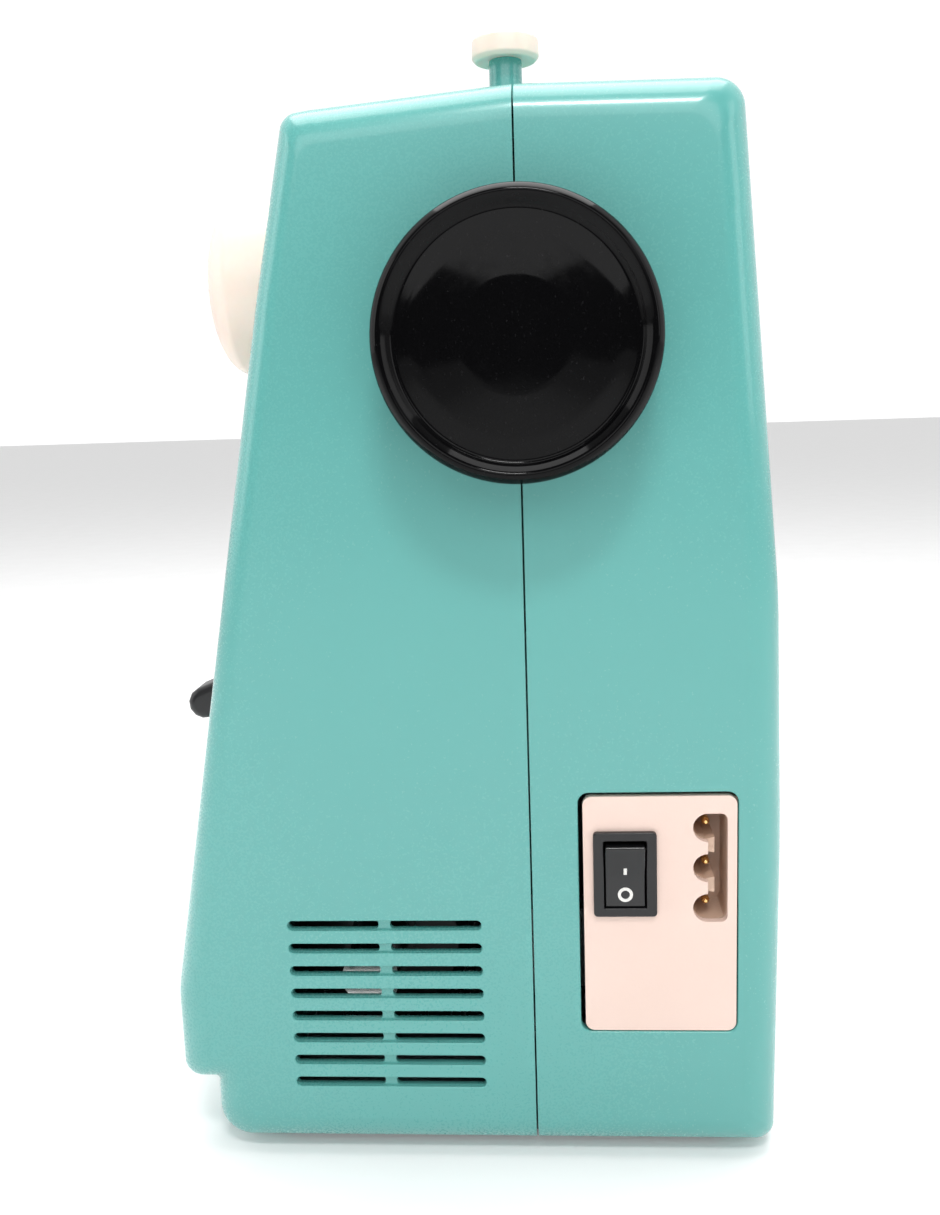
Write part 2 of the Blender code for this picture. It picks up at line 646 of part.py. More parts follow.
def crank():
    pin_z = SHAFT_Z + CRANK_RADIUS
    web = rod('x', 0, SHAFT_Z, CRANK_RADIUS + 3, NEEDLE_X + 10, NEEDLE_X + 18 - GAP, 24)
    disc = add_object('crank_disc', web, 'steel', (0, 0, SHAFT_Z))
    weld(disc, rod('x', 0, pin_z, CRANK_PIN_RADIUS, NEEDLE_X + 4.5, NEEDLE_X + 14, 12), 'crank_pin')
    outline = bar((0, pin_z - LINK_LENGTH), (0, pin_z), CRANK_PIN_RADIUS + 1.4)
    strip = prism('x', outline, NEEDLE_X + 5.2, NEEDLE_X + 7.8)
    link = add_object('needle_link', strip, 'steel', (0, 0, pin_z))
    cut(link, rod('x', 0, pin_z, CRANK_PIN_RADIUS + RUNNING, NEEDLE_X - 1, NEEDLE_X + 14, 12), 'link_bore')


def drive_line():
    pivot = (0, 0, SHAFT_Z)
    shaft = rod('x', 0, SHAFT_Z, SHAFT_RADIUS, NEEDLE_X + 18, WHEEL_FACE - 9)
    add_object('main_shaft', shaft, 'steel', pivot)
    bore = SHAFT_RADIUS + GAP
    pulley('wheel_pulley', 'cast_aluminium', 0, SHAFT_Z, bore, WHEEL_PULLEY_RADIUS, WHEEL_PULLEY_RADIUS + 2,
           -24, -12, 28)
    pulley('upper_timing_pulley', 'black_plastic', 0, SHAFT_Z, bore, TIMING_RADIUS, TIMING_RADIUS + 1,
           -67, -55, 20)
    bore = LOWER_RADIUS + GAP
    pulley('lower_timing_pulley', 'black_plastic', 0, LOWER_Z, bore, TIMING_RADIUS, TIMING_RADIUS + 1,
           -67, -55, 20)
    belt('timing_belt', (0, LOWER_Z), TIMING_RADIUS + GAP, (0, SHAFT_Z), TIMING_RADIUS + GAP,
         -65.2, -56.8, BELT_THICKNESS)
    add_object('lower_shaft', rod('x', 0, LOWER_Z, LOWER_RADIUS, NEEDLE_X - 8, -38), 'steel', (0, 0, LOWER_Z))
    add_object('lower_gear', ring('x', 0, LOWER_Z, bore, 8.0, NEEDLE_X - 5, NEEDLE_X + 5, 20), 'grey_plastic',
               (0, 0, LOWER_Z))
    left, right = MOTOR_X
    shoulder = MOTOR_RADIUS - 3
    motor_profile = [(0, left), (9, left), (9, left + 3), (shoulder, left + 4), (MOTOR_RADIUS, left + 7),
                     (MOTOR_RADIUS, right - 7), (shoulder, right - 4), (9, right - 3), (9, right), (0, right)]
    add_object('motor', turned('x', MOTOR_Y, MOTOR_Z, motor_profile, 28), 'black_plastic')
    pivot = (0, MOTOR_Y, MOTOR_Z)
    flange = MOTOR_PULLEY_RADIUS + 1.5
    motor_pulley = [(0, right + GAP), (2.5, right + GAP), (2.5, -24), (flange, -24), (flange, -23.2),
                    (MOTOR_PULLEY_RADIUS, -22.6), (MOTOR_PULLEY_RADIUS, -13.4), (flange, -12.8),
                    (flange, -12), (0, -12)]
    add_object('motor_pulley', turned('x', MOTOR_Y, MOTOR_Z, motor_pulley, 16), 'steel', pivot)
    belt('motor_belt', (MOTOR_Y, MOTOR_Z), MOTOR_PULLEY_RADIUS + GAP, (0, SHAFT_Z),
         WHEEL_PULLEY_RADIUS + GAP, -22.0, -14.0, BELT_THICKNESS)
    shelf = MOTOR_Z - MOTOR_RADIUS - GAP
    add_object('motor_bracket', block(left + 4, right - 4, MOTOR_Y - 20, FRAME_FRONT - GAP, shelf - 3, shelf),
               'cast_aluminium')


def stitch_parts():
    pivot = (NEEDLE_X, HOOK_Y, 0)
    hook = [(0, 17), (3, 17), (3, 44), (HOOK_RADIUS, 44), (HOOK_RADIUS, 61), (HOOK_RADIUS - 1.4, 61),
            (HOOK_RADIUS - 1.4, 46), (0, 46)]
    add_object('rotary_hook', turned('z', NEEDLE_X, HOOK_Y, hook, 24), 'steel', pivot)
    add_object('hook_gear', ring('z', NEEDLE_X, HOOK_Y, 3 + GAP, 7.6, 28, 40, 20), 'steel', pivot)
    inner = HOOK_RADIUS - 1.4 - 0.5
    case = [(0, 46.5), (inner, 46.5), (inner, 62.5), (inner - 1.4, 62.5), (inner - 1.4, 48), (0, 48)]
    add_object('bobbin_case', turned('z', NEEDLE_X, HOOK_Y, case, 24), 'black_plastic')
    bobbin = [(3, 48.4), (BOBBIN_RADIUS, 48.4), (BOBBIN_RADIUS, 49.4), (4, 49.4), (4, 58.9),
              (BOBBIN_RADIUS, 58.9), (BOBBIN_RADIUS, 59.9), (3, 59.9)]
    add_object('bobbin', turned('z', NEEDLE_X, HOOK_Y, bobbin, 20, closed=True), 'clear_plastic', pivot)

    top = BED_TOP - 0.1
    low = top - PLATE_THICKNESS
    x0 = NEEDLE_X - PLATE_HALF_WIDTH
    x1 = NEEDLE_X + PLATE_HALF_WIDTH
    outline = round_corners([(x0, PLATE_SPLIT, 0), (x1, PLATE_SPLIT, 0), (x1, PLATE_REAR, 1.8),
                             (x0, PLATE_REAR, 1.8)], 45)
    plate = add_object('needle_plate', prism('z', outline, low, top), 'steel')
    cut(plate, rod('z', NEEDLE_X, 0, 1.4, low - 3, top + 3, 10), 'needle_hole')
    cut(plate, block(NEEDLE_X - 6.5, NEEDLE_X + 6.5, 3.5, 26.5, low - 3, top + 3), 'feed_slot')
    outline = round_corners([(x0, PLATE_FRONT, 1.8), (x1, PLATE_FRONT, 1.8), (x1, PLATE_SPLIT - GAP, 0),
                             (x0, PLATE_SPLIT - GAP, 0)], 45)
    add_object('bobbin_cover', prism('z', outline, low, top), 'clear_plastic', (NEEDLE_X, PLATE_FRONT, top))
    dog = add_object('feed_dog', block(NEEDLE_X - 5.5, NEEDLE_X + 5.5, 6.5, 23.5, BED_TOP - 5, BED_TOP + 0.4),
                     'steel')
    weld(dog, block(NEEDLE_X - 9, NEEDLE_X + 9, 8, 14, 46, BED_TOP - 4), 'feed_bar')

    pivot = (NEEDLE_X, 0, 0)
    add_object('needle_bar', rod('z', NEEDLE_X, 0, NEEDLE_BAR_RADIUS, 113, 214), 'steel', pivot)
    clamp = add_object('needle_clamp', rod('z', NEEDLE_X, 0, 5, 104, 113 - GAP), 'steel', pivot)
    weld(clamp, rod('x', 0, 108, 2.2, NEEDLE_X + 3, NEEDLE_X + 12, 10), 'clamp_screw')
    cut(clamp, rod('z', NEEDLE_X, 0, 1.1 + GAP, 100, 111, 8), 'clamp_bore')
    needle = [(0, 78), (0.5, 82), (0.5, 92), (1.1, 93), (1.1, 110.6), (0, 110.6)]
    add_object('needle', turned('z', NEEDLE_X, 0, needle, 8), 'steel', pivot)

    pivot = (NEEDLE_X, PRESSER_Y, 0)
    add_object('presser_bar', rod('z', NEEDLE_X, PRESSER_Y, PRESSER_RADIUS, 92, 205), 'steel', pivot)
    sole = BED_TOP + 0.7
    foot = add_object('presser_foot', block(NEEDLE_X - 10, NEEDLE_X + 10, -7.5, 18, sole, sole + 2), 'steel',
                      pivot)
    shank = block(NEEDLE_X - 3.5, NEEDLE_X + 3.5, PRESSER_Y - 3, PRESSER_Y + 3, sole + 1, 92 - GAP)
    weld(foot, shank, 'shank')
    cut(foot, block(NEEDLE_X - 4, NEEDLE_X + 4, -2, 2, sole - 2, sole + 5), 'foot_slot')
    presser_spring()

    lever = bar(TAKE_UP_PIVOT, TAKE_UP_TIP, 3.2)
    add_object('take_up_lever', prism('x', lever, NEEDLE_X - 10.8, NEEDLE_X - 7.0), 'steel',
               (NEEDLE_X - 9, *TAKE_UP_PIVOT))
    lifter = bar((LIFTER_X, LIFTER_Z), (LIFTER_X, LIFTER_END), 3.4)
    add_object('presser_lifter', prism('y', lifter, LIFTER_Y, LIFTER_Y + 5), 'black_plastic',
               (LIFTER_X, LIFTER_Y, LIFTER_Z))


def presser_spring():
    """Coil spring round the presser bar, as a round wire swept along a helix."""
    turns = 7
    per_turn = 8
    radius = PRESSER_RADIUS + 1.2
    curve = bpy.data.curves.new('presser_spring', 'CURVE')
    curve.dimensions = '3D'
    curve.bevel_depth = 0.5 * MM
    curve.bevel_resolution = 1
    curve.use_fill_caps = True
    spline = curve.splines.new('POLY')
    count = turns * per_turn + 1
    spline.points.add(count - 1)
    for index, point in enumerate(spline.points):
        angle = math.tau * index / per_turn
        point.co = (radius * math.cos(angle) * MM, radius * math.sin(angle) * MM,
                    (SPRING[1] - SPRING[0]) * index / (count - 1) * MM, 1.0)
    curve.materials.append(FINISH['steel'])
    spring = bpy.data.objects.new('presser_spring', curve)
    spring.location = Vector((NEEDLE_X, PRESSER_Y, SPRING[0])) * MM
    spring.parent = machine
    bpy.context.scene.collection.objects.link(spring)


# ---------------------------------------------------------------- controls

def lamp_outline(grow=0.0):
    return round_corners(rectangle(NEEDLE_X - 8 - grow, NEEDLE_X + 22 + grow, -44 - grow, -24 + grow, 5), 45)


def domed_knob(radius, base, front, edge, bore=0.0):
    """Profile of a knob turned about -y, from its base to a slightly domed front."""
    profile = [(0, base), (radius, base), (radius, front + edge)]
    for arc in (30, 60, 90):
        angle = math.radians(arc)
        out = radius - edge + edge * math.cos(angle)
        profile.append((out, front + 1.2 + (edge - 1.2) * (1 - math.sin(angle))))
    profile.append((0, front))
    return profile


def controls():
    pivot = (DIAL_X, 0, DIAL_Z)
    knob = turned('y', DIAL_X, DIAL_Z, domed_knob(DIAL_RADIUS, -52, DIAL_FRONT, 6), 40)
    dial = add_object('stitch_dial', knob, 'white_plastic', pivot)
    weld(dial, rod('y', DIAL_X, DIAL_Z, 4, -55, -20, 12), 'dial_stem')
    add_object('pattern_cam', ring('y', DIAL_X, DIAL_Z, 4 + GAP, 14, -44, -30, 24), 'white_plastic', pivot)

    pivot = (TENSION_X, 0, TENSION_Z)
    base = edge_y(FRONT_SECTION, TENSION_Z - TENSION_RADIUS) - 1.0
    knob = turned('y', TENSION_X, TENSION_Z, domed_knob(TENSION_RADIUS, base, base - 11, 3), 28)
    dial = add_object('tension_dial', knob, 'white_plastic', pivot)
    weld(dial, rod('y', TENSION_X, TENSION_Z, 3.2, base - 2, -42, 12), 'tension_stem')

    outline = bar(LEVER_PIVOT, LEVER_TIP, LEVER_TIP_ROUND)
    half = LEVER_WIDTH / 2
    add_object('reverse_lever', prism('x', outline, LEVER_X - half, LEVER_X + half), 'black_plastic',
               (LEVER_X, *LEVER_PIVOT))

    pivot = (STOP_X, STOP_Y, 0)
    post_top = STOP_TOP - 5.2
    cap = [(0, post_top + GAP), (4 + GAP, post_top + GAP), (4 + GAP, post_top - 1.2),
           (STOP_RADIUS - 1.4, post_top - 1.8), (STOP_RADIUS - 0.5, post_top - 1.6),
           (STOP_RADIUS, post_top - 0.6), (STOP_RADIUS, STOP_TOP - 2), (STOP_RADIUS - 0.6, STOP_TOP - 1),
           (STOP_RADIUS - 2, STOP_TOP - 0.4), (0, STOP_TOP)]
    add_object('winder_stop', turned('z', STOP_X, STOP_Y, cap, 32), 'white_plastic', pivot)
    low = CASE_TOP - 7.6
    post = [(0, low), (2, low), (2, CASE_TOP + 0.2), (4, CASE_TOP + 0.4), (4, post_top), (0, post_top)]
    add_object('stop_post', turned('z', STOP_X, STOP_Y, post, 20), 'teal_plastic')

    low = CASE_TOP - 11.6
    carrier = add_object('winder_carrier', block(SPINDLE_X - 8, SPINDLE_X + 8, SPINDLE_Y - 7, SPINDLE_Y + 7,
                                                 low, low + 4), 'grey_plastic')
    cut(carrier, rod('z', SPINDLE_X, SPINDLE_Y, SPINDLE_RADIUS + RUNNING, low - 7, low + 8), 'carrier_bore')
    flange = CASE_TOP + 1
    tip = flange + 10.4
    spindle = [(0, low - 6), (SPINDLE_RADIUS, low - 6), (SPINDLE_RADIUS, flange), (6.5, flange),
               (6.5, flange + 2), (SPINDLE_RADIUS, flange + 2), (SPINDLE_RADIUS, tip - 1),
               (SPINDLE_RADIUS - 1, tip), (0, tip)]
    add_object('winder_spindle', turned('z', SPINDLE_X, SPINDLE_Y, spindle, 16), 'steel',
               (SPINDLE_X, SPINDLE_Y, 0))

    low = CASE_TOP - 67.6
    head = CASE_TOP + 2.4
    pin = [(0, low), (SPOOL_RADIUS, low), (SPOOL_RADIUS, head), (4.2, head + 0.6), (4.2, head + 2.4),
           (0, head + 3.2)]
    add_object('spool_pin', turned('z', SPOOL_X, SPOOL_Y, pin, 14), 'white_plastic', (SPOOL_X, SPOOL_Y, 0))

    handle()
    add_object('lamp_lens', prism('z', lamp_outline(), HEAD_UNDERSIDE - 1.5, HEAD_UNDERSIDE + 8),
               'clear_plastic')


def handle():
    """Folding carrying handle: two arms and a grip, lying back over the arm."""
    width = HANDLE_WIDTH
    left = HANDLE_LEFT - 6 + HANDLE_BOSS + GAP
    right = HANDLE_RIGHT + 6 - HANDLE_BOSS - GAP
    low = HANDLE_Z - 4
    high = HANDLE_Z + 4
    front = HANDLE_Y - HANDLE_NOSE
    rear = HANDLE_Y + HANDLE_DEPTH
    corners = [(left, front, 3), (left, rear, 8), (right, rear, 8), (right, front, 3),
               (right - width, front, 3), (right - width, rear - 10, 4), (left + width, rear - 10, 4),
               (left + width, front, 3)]
    bm = prism('z', round_corners(corners[::-1], 45), low, high)
    body = add_object('carry_handle', bm, 'teal_plastic', (0, HANDLE_Y, HANDLE_Z))
    for index, (start, end) in enumerate(((left - 5, left + 2), (right - 2, right + 5))):
        weld(body, rod('x', HANDLE_Y, HANDLE_Z, 2.0, start, end, 12), 'handle_pin_%d' % index)


# ---------------------------------------------------------------- socket panel

def inlet_outline(grow=0.0):
    """Three round lobes on the front side and a straight wall on the rear side."""
    radius = INLET_LOBE + grow
    outline = []
    for index in range(3):
        z = INLET_Z + INLET_PITCH * (1 - index)
        first = 90 if index == 0 else 60
        last = 270 if index == 2 else 300
        count = 6
        for arc in range(count + 1):
            angle = math.radians(first + (last - first) * arc / count)
            outline.append((INLET_Y + radius * math.cos(angle), z + radius * math.sin(angle)))
    rear = INLET_REAR + grow
    reach = INLET_PITCH + radius
    outline += [(rear - 2, INLET_Z - reach), (rear - 0.6, INLET_Z - reach + 0.6), (rear, INLET_Z - reach + 2),
                (rear, INLET_Z + reach - 2), (rear - 0.6, INLET_Z + reach - 0.6), (rear - 2, INLET_Z + reach)]
    return outline


def socket_panel():
    y0, y1, z0, z1 = PANEL
    front = PANEL_FACE
    back = -WALL + GAP
    outline = round_corners(rectangle(y0, y1, z0, z1, 2.0))
    plate = add_object('socket_plate', prism('x', outline, back, front), 'cream_plastic')
    s0, s1, t0, t1 = SWITCH
    hole = rectangle(s0 + 0.7, s1 - 0.7, t0 + 0.7, t1 - 0.7)
    cut(plate, prism('x', round_corners(hole), -8, 5), 'switch_hole')
    cut(plate, prism('x', inlet_outline(), -8, 5), 'inlet_hole')

    flange = round_corners(rectangle(s0, s1, t0, t1, 0.8), 45)
    switch = add_object('switch_body', prism('x', flange, front + GAP, front + GAP + SWITCH_FLANGE),
                        'black_plastic')
    weld(switch, block(-18, 0.3, s0 + 1, s1 - 1, t0 + 1, t1 - 1), 'switch_barrel')
    y = (s0 + s1) / 2
    z = (t0 + t1) / 2
    half_width, half_height = ROCKER[0] / 2, ROCKER[1] / 2
    window = block(-9, 5, y - half_width - 0.5, y + half_width + 0.5,
                   z - half_height - 0.6, z + half_height + 0.6)
    cut(switch, window, 'rocker_window')
    pivot = (-2.5, y, z)
    corners = [(-5.0, z - 5, 2), (0.4, z - half_height, 0.5), (2.2, z - half_height, 0.6), (1.2, z, 8),
               (2.2, z + half_height, 0.6), (0.4, z + half_height, 0.5), (-5.0, z + 5, 2)]
    rocker = prism('y', round_corners(corners, 45), y - half_width, y + half_width)
    tilt = Matrix.Rotation(math.radians(ROCKER_REST_TILT), 3, 'Y')
    bmesh.ops.rotate(rocker, verts=rocker.verts, cent=Vector(pivot), matrix=tilt)
    add_object('switch_rocker', rocker, 'black_plastic', pivot)

    housing = block(-20, back - GAP, 35.5, 51.5, 57, 91)
    inlet = add_object('inlet_block', housing, 'cream_plastic')
    floor = back - INLET_DEPTH + 2
    cut(inlet, prism('x', inlet_outline(0.05), floor, 5), 'inlet_cavity')
    for index in range(3):
        z = INLET_Z + INLET_PITCH * (1 - index)
        cut(inlet, rod('x', INLET_Y, z, PIN_RADIUS + GAP, floor - 4.5, floor + 2, 10), 'pin_bore_%d' % index)
        pin = [(0, floor - 4), (PIN_RADIUS, floor - 4), (PIN_RADIUS, floor + 9),
               (PIN_RADIUS - 0.4, floor + 10), (0, floor + 10)]
        add_object('inlet_pin_%d' % (index + 1), turned('x', INLET_Y, z, pin, 10), 'brass')


front_cover()
rear_cover()
face_cover()
base_plate()
free_arm_cover()
extension_table()
frame_casting()
handwheel()
drive_line()
crank()
stitch_parts()
controls()
socket_panel()
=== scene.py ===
import json
import math

import bmesh
import bpy
from mathutils import Matrix, Vector


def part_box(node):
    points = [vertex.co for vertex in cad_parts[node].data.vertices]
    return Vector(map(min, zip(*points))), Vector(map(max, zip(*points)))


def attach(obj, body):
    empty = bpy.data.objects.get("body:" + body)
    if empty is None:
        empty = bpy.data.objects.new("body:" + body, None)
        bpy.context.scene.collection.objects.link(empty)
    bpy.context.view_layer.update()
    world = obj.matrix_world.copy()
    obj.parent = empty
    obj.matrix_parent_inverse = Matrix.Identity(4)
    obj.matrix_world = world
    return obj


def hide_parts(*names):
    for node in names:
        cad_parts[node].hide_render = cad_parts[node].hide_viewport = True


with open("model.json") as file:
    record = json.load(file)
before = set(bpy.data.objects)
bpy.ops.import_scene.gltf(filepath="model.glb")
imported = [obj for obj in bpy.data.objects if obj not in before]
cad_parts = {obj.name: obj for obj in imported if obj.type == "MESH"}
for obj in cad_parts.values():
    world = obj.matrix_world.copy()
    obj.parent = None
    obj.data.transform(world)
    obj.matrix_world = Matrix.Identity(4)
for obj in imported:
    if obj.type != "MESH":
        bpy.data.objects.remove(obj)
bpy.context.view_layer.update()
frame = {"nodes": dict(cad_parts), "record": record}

scene = bpy.context.scene
mm = 0.001

# The casing's own coordinates, in millimetres: x is 0 at the handwheel end and negative to the left,
# y is 0 at the parting line and negative to the front, z is 0 at the casing's lower edge.
partingGap = 0.5
rearLow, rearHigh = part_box('rear_cover')
origin = Vector((rearHigh[0], rearLow[1] - partingGap / 2 * mm, rearLow[2]))


def place(x, y, z):
    return origin + Vector((x, y, z)) * mm


# lowest and highest corners of a CAD node, in casing millimetres
def nodeBox(name):
    low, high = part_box(name)
    return (Vector(low) - origin) / mm, (Vector(high) - origin) / mm


view = {'place': (270.6, 6.2, 183.4), 'pitch': 9.53, 'yaw': -3.98, 'roll': -1.86, 'lens': 35.26}


def makeCamera():
    pitch, yaw, roll = (math.radians(view[key]) for key in ('pitch', 'yaw', 'roll'))
    ahead = Vector((-math.cos(pitch) * math.cos(yaw), math.cos(pitch) * math.sin(yaw), -math.sin(pitch)))
    right = ahead.cross(Vector((0, 0, 1))).normalized()
    up = right.cross(ahead)
    turnedRight = right * math.cos(roll) + up * math.sin(roll)
    turnedUp = up * math.cos(roll) - right * math.sin(roll)
    data = bpy.data.cameras.new('camera')
    data.lens = view['lens']
    data.sensor_width = 36
    data.clip_start = 0.01
    camera = bpy.data.objects.new('camera', data)
    axes = Matrix((turnedRight, turnedUp, -ahead)).transposed().to_4x4()
    camera.matrix_world = Matrix.Translation(place(*view['place'])) @ axes
    scene.collection.objects.link(camera)
    scene.camera = camera


def makeLight(name, spot, target, size, power):
    data = bpy.data.lights.new(name, 'AREA')
    data.shape = 'RECTANGLE'
    data.size, data.size_y = size
    data.energy = power
    lamp = bpy.data.objects.new(name, data)
    lamp.location = Vector(spot)
    aim = Vector(target) - Vector(spot)
    lamp.rotation_euler = aim.to_track_quat('-Z', 'Y').to_euler()
    scene.collection.objects.link(lamp)


# in metres; a light is (place, what it points at, size, power), and the sky is brighter behind the machine
studio = {'floorSize': 9, 'floorDrop': 0.0003, 'fadeFrom': -0.2, 'fadeTo': 0.3, 'skyBehind': 1.12,
          'skyFront': 0.16,
          'lights': {'overheadSoftbox': ((-0.05, 0.0, 1.05), (0.0, 0, 0.1), (1.0, 0.8), 9),
                     'windowLight': ((0.85, 0.10, 1.15), (0.14, 0, 0.2), (0.30, 0.16), 6),
                     'wallPanel': ((1.50, 0.0, 0.95), (0.14, 0, 0.25), (1.7, 0.8), 9),
                     'rearFill': ((0.6, 1.3, 0.7), (0.14, 0, 0.15), (0.5, 1.0), 3),
                     'frontFill': ((0.3, -1.5, 0.7), (0, 0, 0.15), (0.7, 1.0), 3.5)}}


def makeStudio():
    bm = bmesh.new()
    bmesh.ops.create_grid(bm, x_segments=1, y_segments=1, size=studio['floorSize'])
    mesh = bpy.data.meshes.new('floor')
    bm.to_mesh(mesh)
    bm.free()
    floor = bpy.data.objects.new('floor', mesh)
    floor.location.z = -studio['floorDrop']
    scene.collection.objects.link(floor)
    floor.data.materials.append(finishes['floor'])
    world = bpy.data.worlds.new('studio')
    world.use_nodes = True
    nodes = world.node_tree.nodes
    links = world.node_tree.links
    background = nodes['Background']
    direction = nodes.new('ShaderNodeTexCoord')
    split = nodes.new('ShaderNodeSeparateXYZ')
    links.new(direction.outputs['Generated'], split.inputs[0])
    fade = nodes.new('ShaderNodeMapRange')
    fade.inputs['From Min'].default_value = studio['fadeFrom']
    fade.inputs['From Max'].default_value = studio['fadeTo']
    fade.inputs['To Min'].default_value = studio['skyBehind']
    fade.inputs['To Max'].default_value = studio['skyFront']
    links.new(split.outputs['X'], fade.inputs['Value'])
    links.new(fade.outputs['Result'], background.inputs['Strength'])
    background.inputs['Color'].default_value = (1, 1, 1, 1)
    scene.world = world
    for name, (spot, target, size, power) in studio['lights'].items():
        makeLight(name, spot, target, size, power)
    scene.view_settings.view_transform = 'Standard'


# a socket that takes part in arithmetic
class Signal:
    def __init__(self, finish, socket):
        self.finish = finish
        self.socket = socket

    def reckon(self, operation, first, second):
        node = self.finish.add('ShaderNodeMath', {'operation': operation}, {0: first, 1: second})
        return Signal(self.finish, node.outputs[0])

    def __add__(self, other):
        return self.reckon('ADD', self, other)

    def __radd__(self, other):
        return self.reckon('ADD', other, self)

    def __mul__(self, other):
        return self.reckon('MULTIPLY', self, other)

    def __rmul__(self, other):
        return self.reckon('MULTIPLY', other, self)


# a material whose nodes are added one by one
class Finish:
    def __init__(self, name, **settings):
        self.material = bpy.data.materials.new(name)
        self.material.use_nodes = True
        self.tree = self.material.node_tree
        self.shader = self.tree.nodes['Principled BSDF']
        for socket, value in settings.items():
            self.shader.inputs[socket.replace('_', ' ')].default_value = value
        self.spot = self.add('ShaderNodeTexCoord').outputs['Object']

    def add(self, kind, settings=None, sockets=None):
        node = self.tree.nodes.new(kind)
        for key, value in (settings or {}).items():
            setattr(node, key, value)
        for key, value in (sockets or {}).items():
            self.feed(node.inputs[key], value)
        return node

    def feed(self, socket, value):
        if isinstance(value, Signal):
            value = value.socket
        if isinstance(value, bpy.types.NodeSocket):
            self.tree.links.new(value, socket)
        else:
            socket.default_value = value

    # noise whose features are about size metres, from 0 to 1
    def noise(self, size, detail=3.0, stretch=(1, 1, 1), roughness=0.5):
        mapping = self.add('ShaderNodeMapping', None, {'Vector': self.spot, 'Scale': stretch})
        node = self.add('ShaderNodeTexNoise', None, {'Vector': mapping.outputs[0], 'Scale': 1 / size,
                                                    'Detail': detail, 'Roughness': roughness})
        return Signal(self, node.outputs[0])

    def ramp(self, value, low, high, start=0.0, end=1.0):
        node = self.add('ShaderNodeMapRange', None, {'Value': value, 'From Min': low, 'From Max': high,
                                                     'To Min': start, 'To Max': end})
        return Signal(self, node.outputs['Result'])

    # mix two colours
    def blend(self, factor, first, second):
        node = self.add('ShaderNodeMix', {'data_type': 'RGBA'}, {0: factor, 6: first, 7: second})
        return node.outputs[2]

    def set(self, socket, value):
        self.feed(self.shader.inputs[socket], value)

    def bump(self, height, strength, distance=0.0002):
        sockets = {'Height': height, 'Strength': strength, 'Distance': distance}
        node = self.add('ShaderNodeBump', None, sockets)
        self.set('Normal', node.outputs[0])


def rgb(r, g, b):
    return (r, g, b, 1.0)


def tealPlastic():
    teal = {'tint': rgb(0.108, 0.385, 0.356), 'deep': rgb(0.101, 0.368, 0.340), 'gloss': 0.24}
    finish = Finish('tealPlastic', IOR=1.5, Coat_Roughness=0.08)
    cloud = finish.noise(0.09, 1)
    grain = finish.noise(0.0006, 1)
    peel = finish.noise(0.004, 1)
    finish.set('Base Color', finish.blend(finish.ramp(cloud, 0.2, 0.8), teal['deep'], teal['tint']))
    finish.set('Roughness', teal['gloss'] + 0.03 * grain + 0.03 * cloud)
    finish.set('Coat Weight', 0.25 + 0.1 * cloud)
    finish.bump(grain * 0.3 + peel * 0.7, 0.06, 0.00005)
    return finish.material


def softPlastic(name, tint, shade, gloss, grainSize=0.0008, strength=0.12, **settings):
    finish = Finish(name, IOR=1.5, **settings)
    cloud = finish.noise(0.03, 2)
    grain = finish.noise(grainSize, 3)
    finish.set('Base Color', finish.blend(finish.ramp(cloud + grain * 0.25, 0.35, 0.85), shade, tint))
    finish.set('Roughness', gloss + 0.08 * grain)
    finish.bump(grain, strength, 0.00015)
    return finish.material


def glossBlack():
    finish = Finish('glossBlack', IOR=1.22)
    scratch = finish.noise(0.004, 5, (14, 1, 1), 0.7)
    dust = finish.noise(0.0006, 2)
    finish.set('Base Color', finish.blend(finish.ramp(dust, 0.66, 0.8), rgb(0.0015, 0.0015, 0.0018),
                                          rgb(0.012, 0.012, 0.013)))
    finish.set('Roughness', 0.07 + 0.09 * finish.ramp(scratch, 0.45, 0.75))
    finish.bump(scratch, 0.03, 0.00005)
    return finish.material


def metal(name, tint, shade, gloss, brushed=(1, 1, 1), grainSize=0.002, strength=0.12):
    finish = Finish(name, Metallic=1.0)
    grain = finish.noise(grainSize, 4, brushed, 0.6)
    cloud = finish.noise(0.02, 2)
    finish.set('Base Color', finish.blend(finish.ramp(cloud * 0.6 + grain * 0.4, 0.3, 0.7), shade, tint))
    finish.set('Roughness', gloss + 0.16 * finish.ramp(grain, 0.3, 0.8))
    finish.bump(grain, strength, 0.0001)
    return finish.material


def clearPlastic():
    finish = Finish('clearPlastic', IOR=1.49, Transmission_Weight=0.85)
    haze = finish.noise(0.004, 3)
    tint = finish.blend(finish.ramp(haze, 0.3, 0.7), rgb(0.86, 0.89, 0.90), rgb(0.93, 0.95, 0.95))
    finish.set('Base Color', tint)
    finish.set('Roughness', 0.08 + 0.1 * haze)
    finish.bump(haze, 0.05, 0.0001)
    return finish.material


# name, tint, shade, roughness, then grain size and depth
plastics = {
    'cream': ('creamPlastic', rgb(0.80, 0.62, 0.545), rgb(0.78, 0.595, 0.52), 0.36, 0.0006, 0.16),
    'blackSatin': ('blackSatin', rgb(0.007, 0.007, 0.008), rgb(0.004, 0.004, 0.005), 0.30),
    'grey': ('greyPlastic', rgb(0.24, 0.25, 0.26), rgb(0.19, 0.20, 0.21), 0.45, 0.001, 0.3),
    'rubber': ('rubber', rgb(0.030, 0.030, 0.031), rgb(0.018, 0.018, 0.019), 0.72, 0.0007, 0.4),
    'inlet': ('inletBeige', rgb(0.66, 0.48, 0.37), rgb(0.58, 0.41, 0.31), 0.4),
    'blackGloss': ('blackGloss', rgb(0.010, 0.010, 0.011), rgb(0.006, 0.006, 0.007), 0.16, 0.001, 0.05),
    'print': ('printWhite', rgb(0.86, 0.85, 0.82), rgb(0.74, 0.73, 0.70), 0.4)}

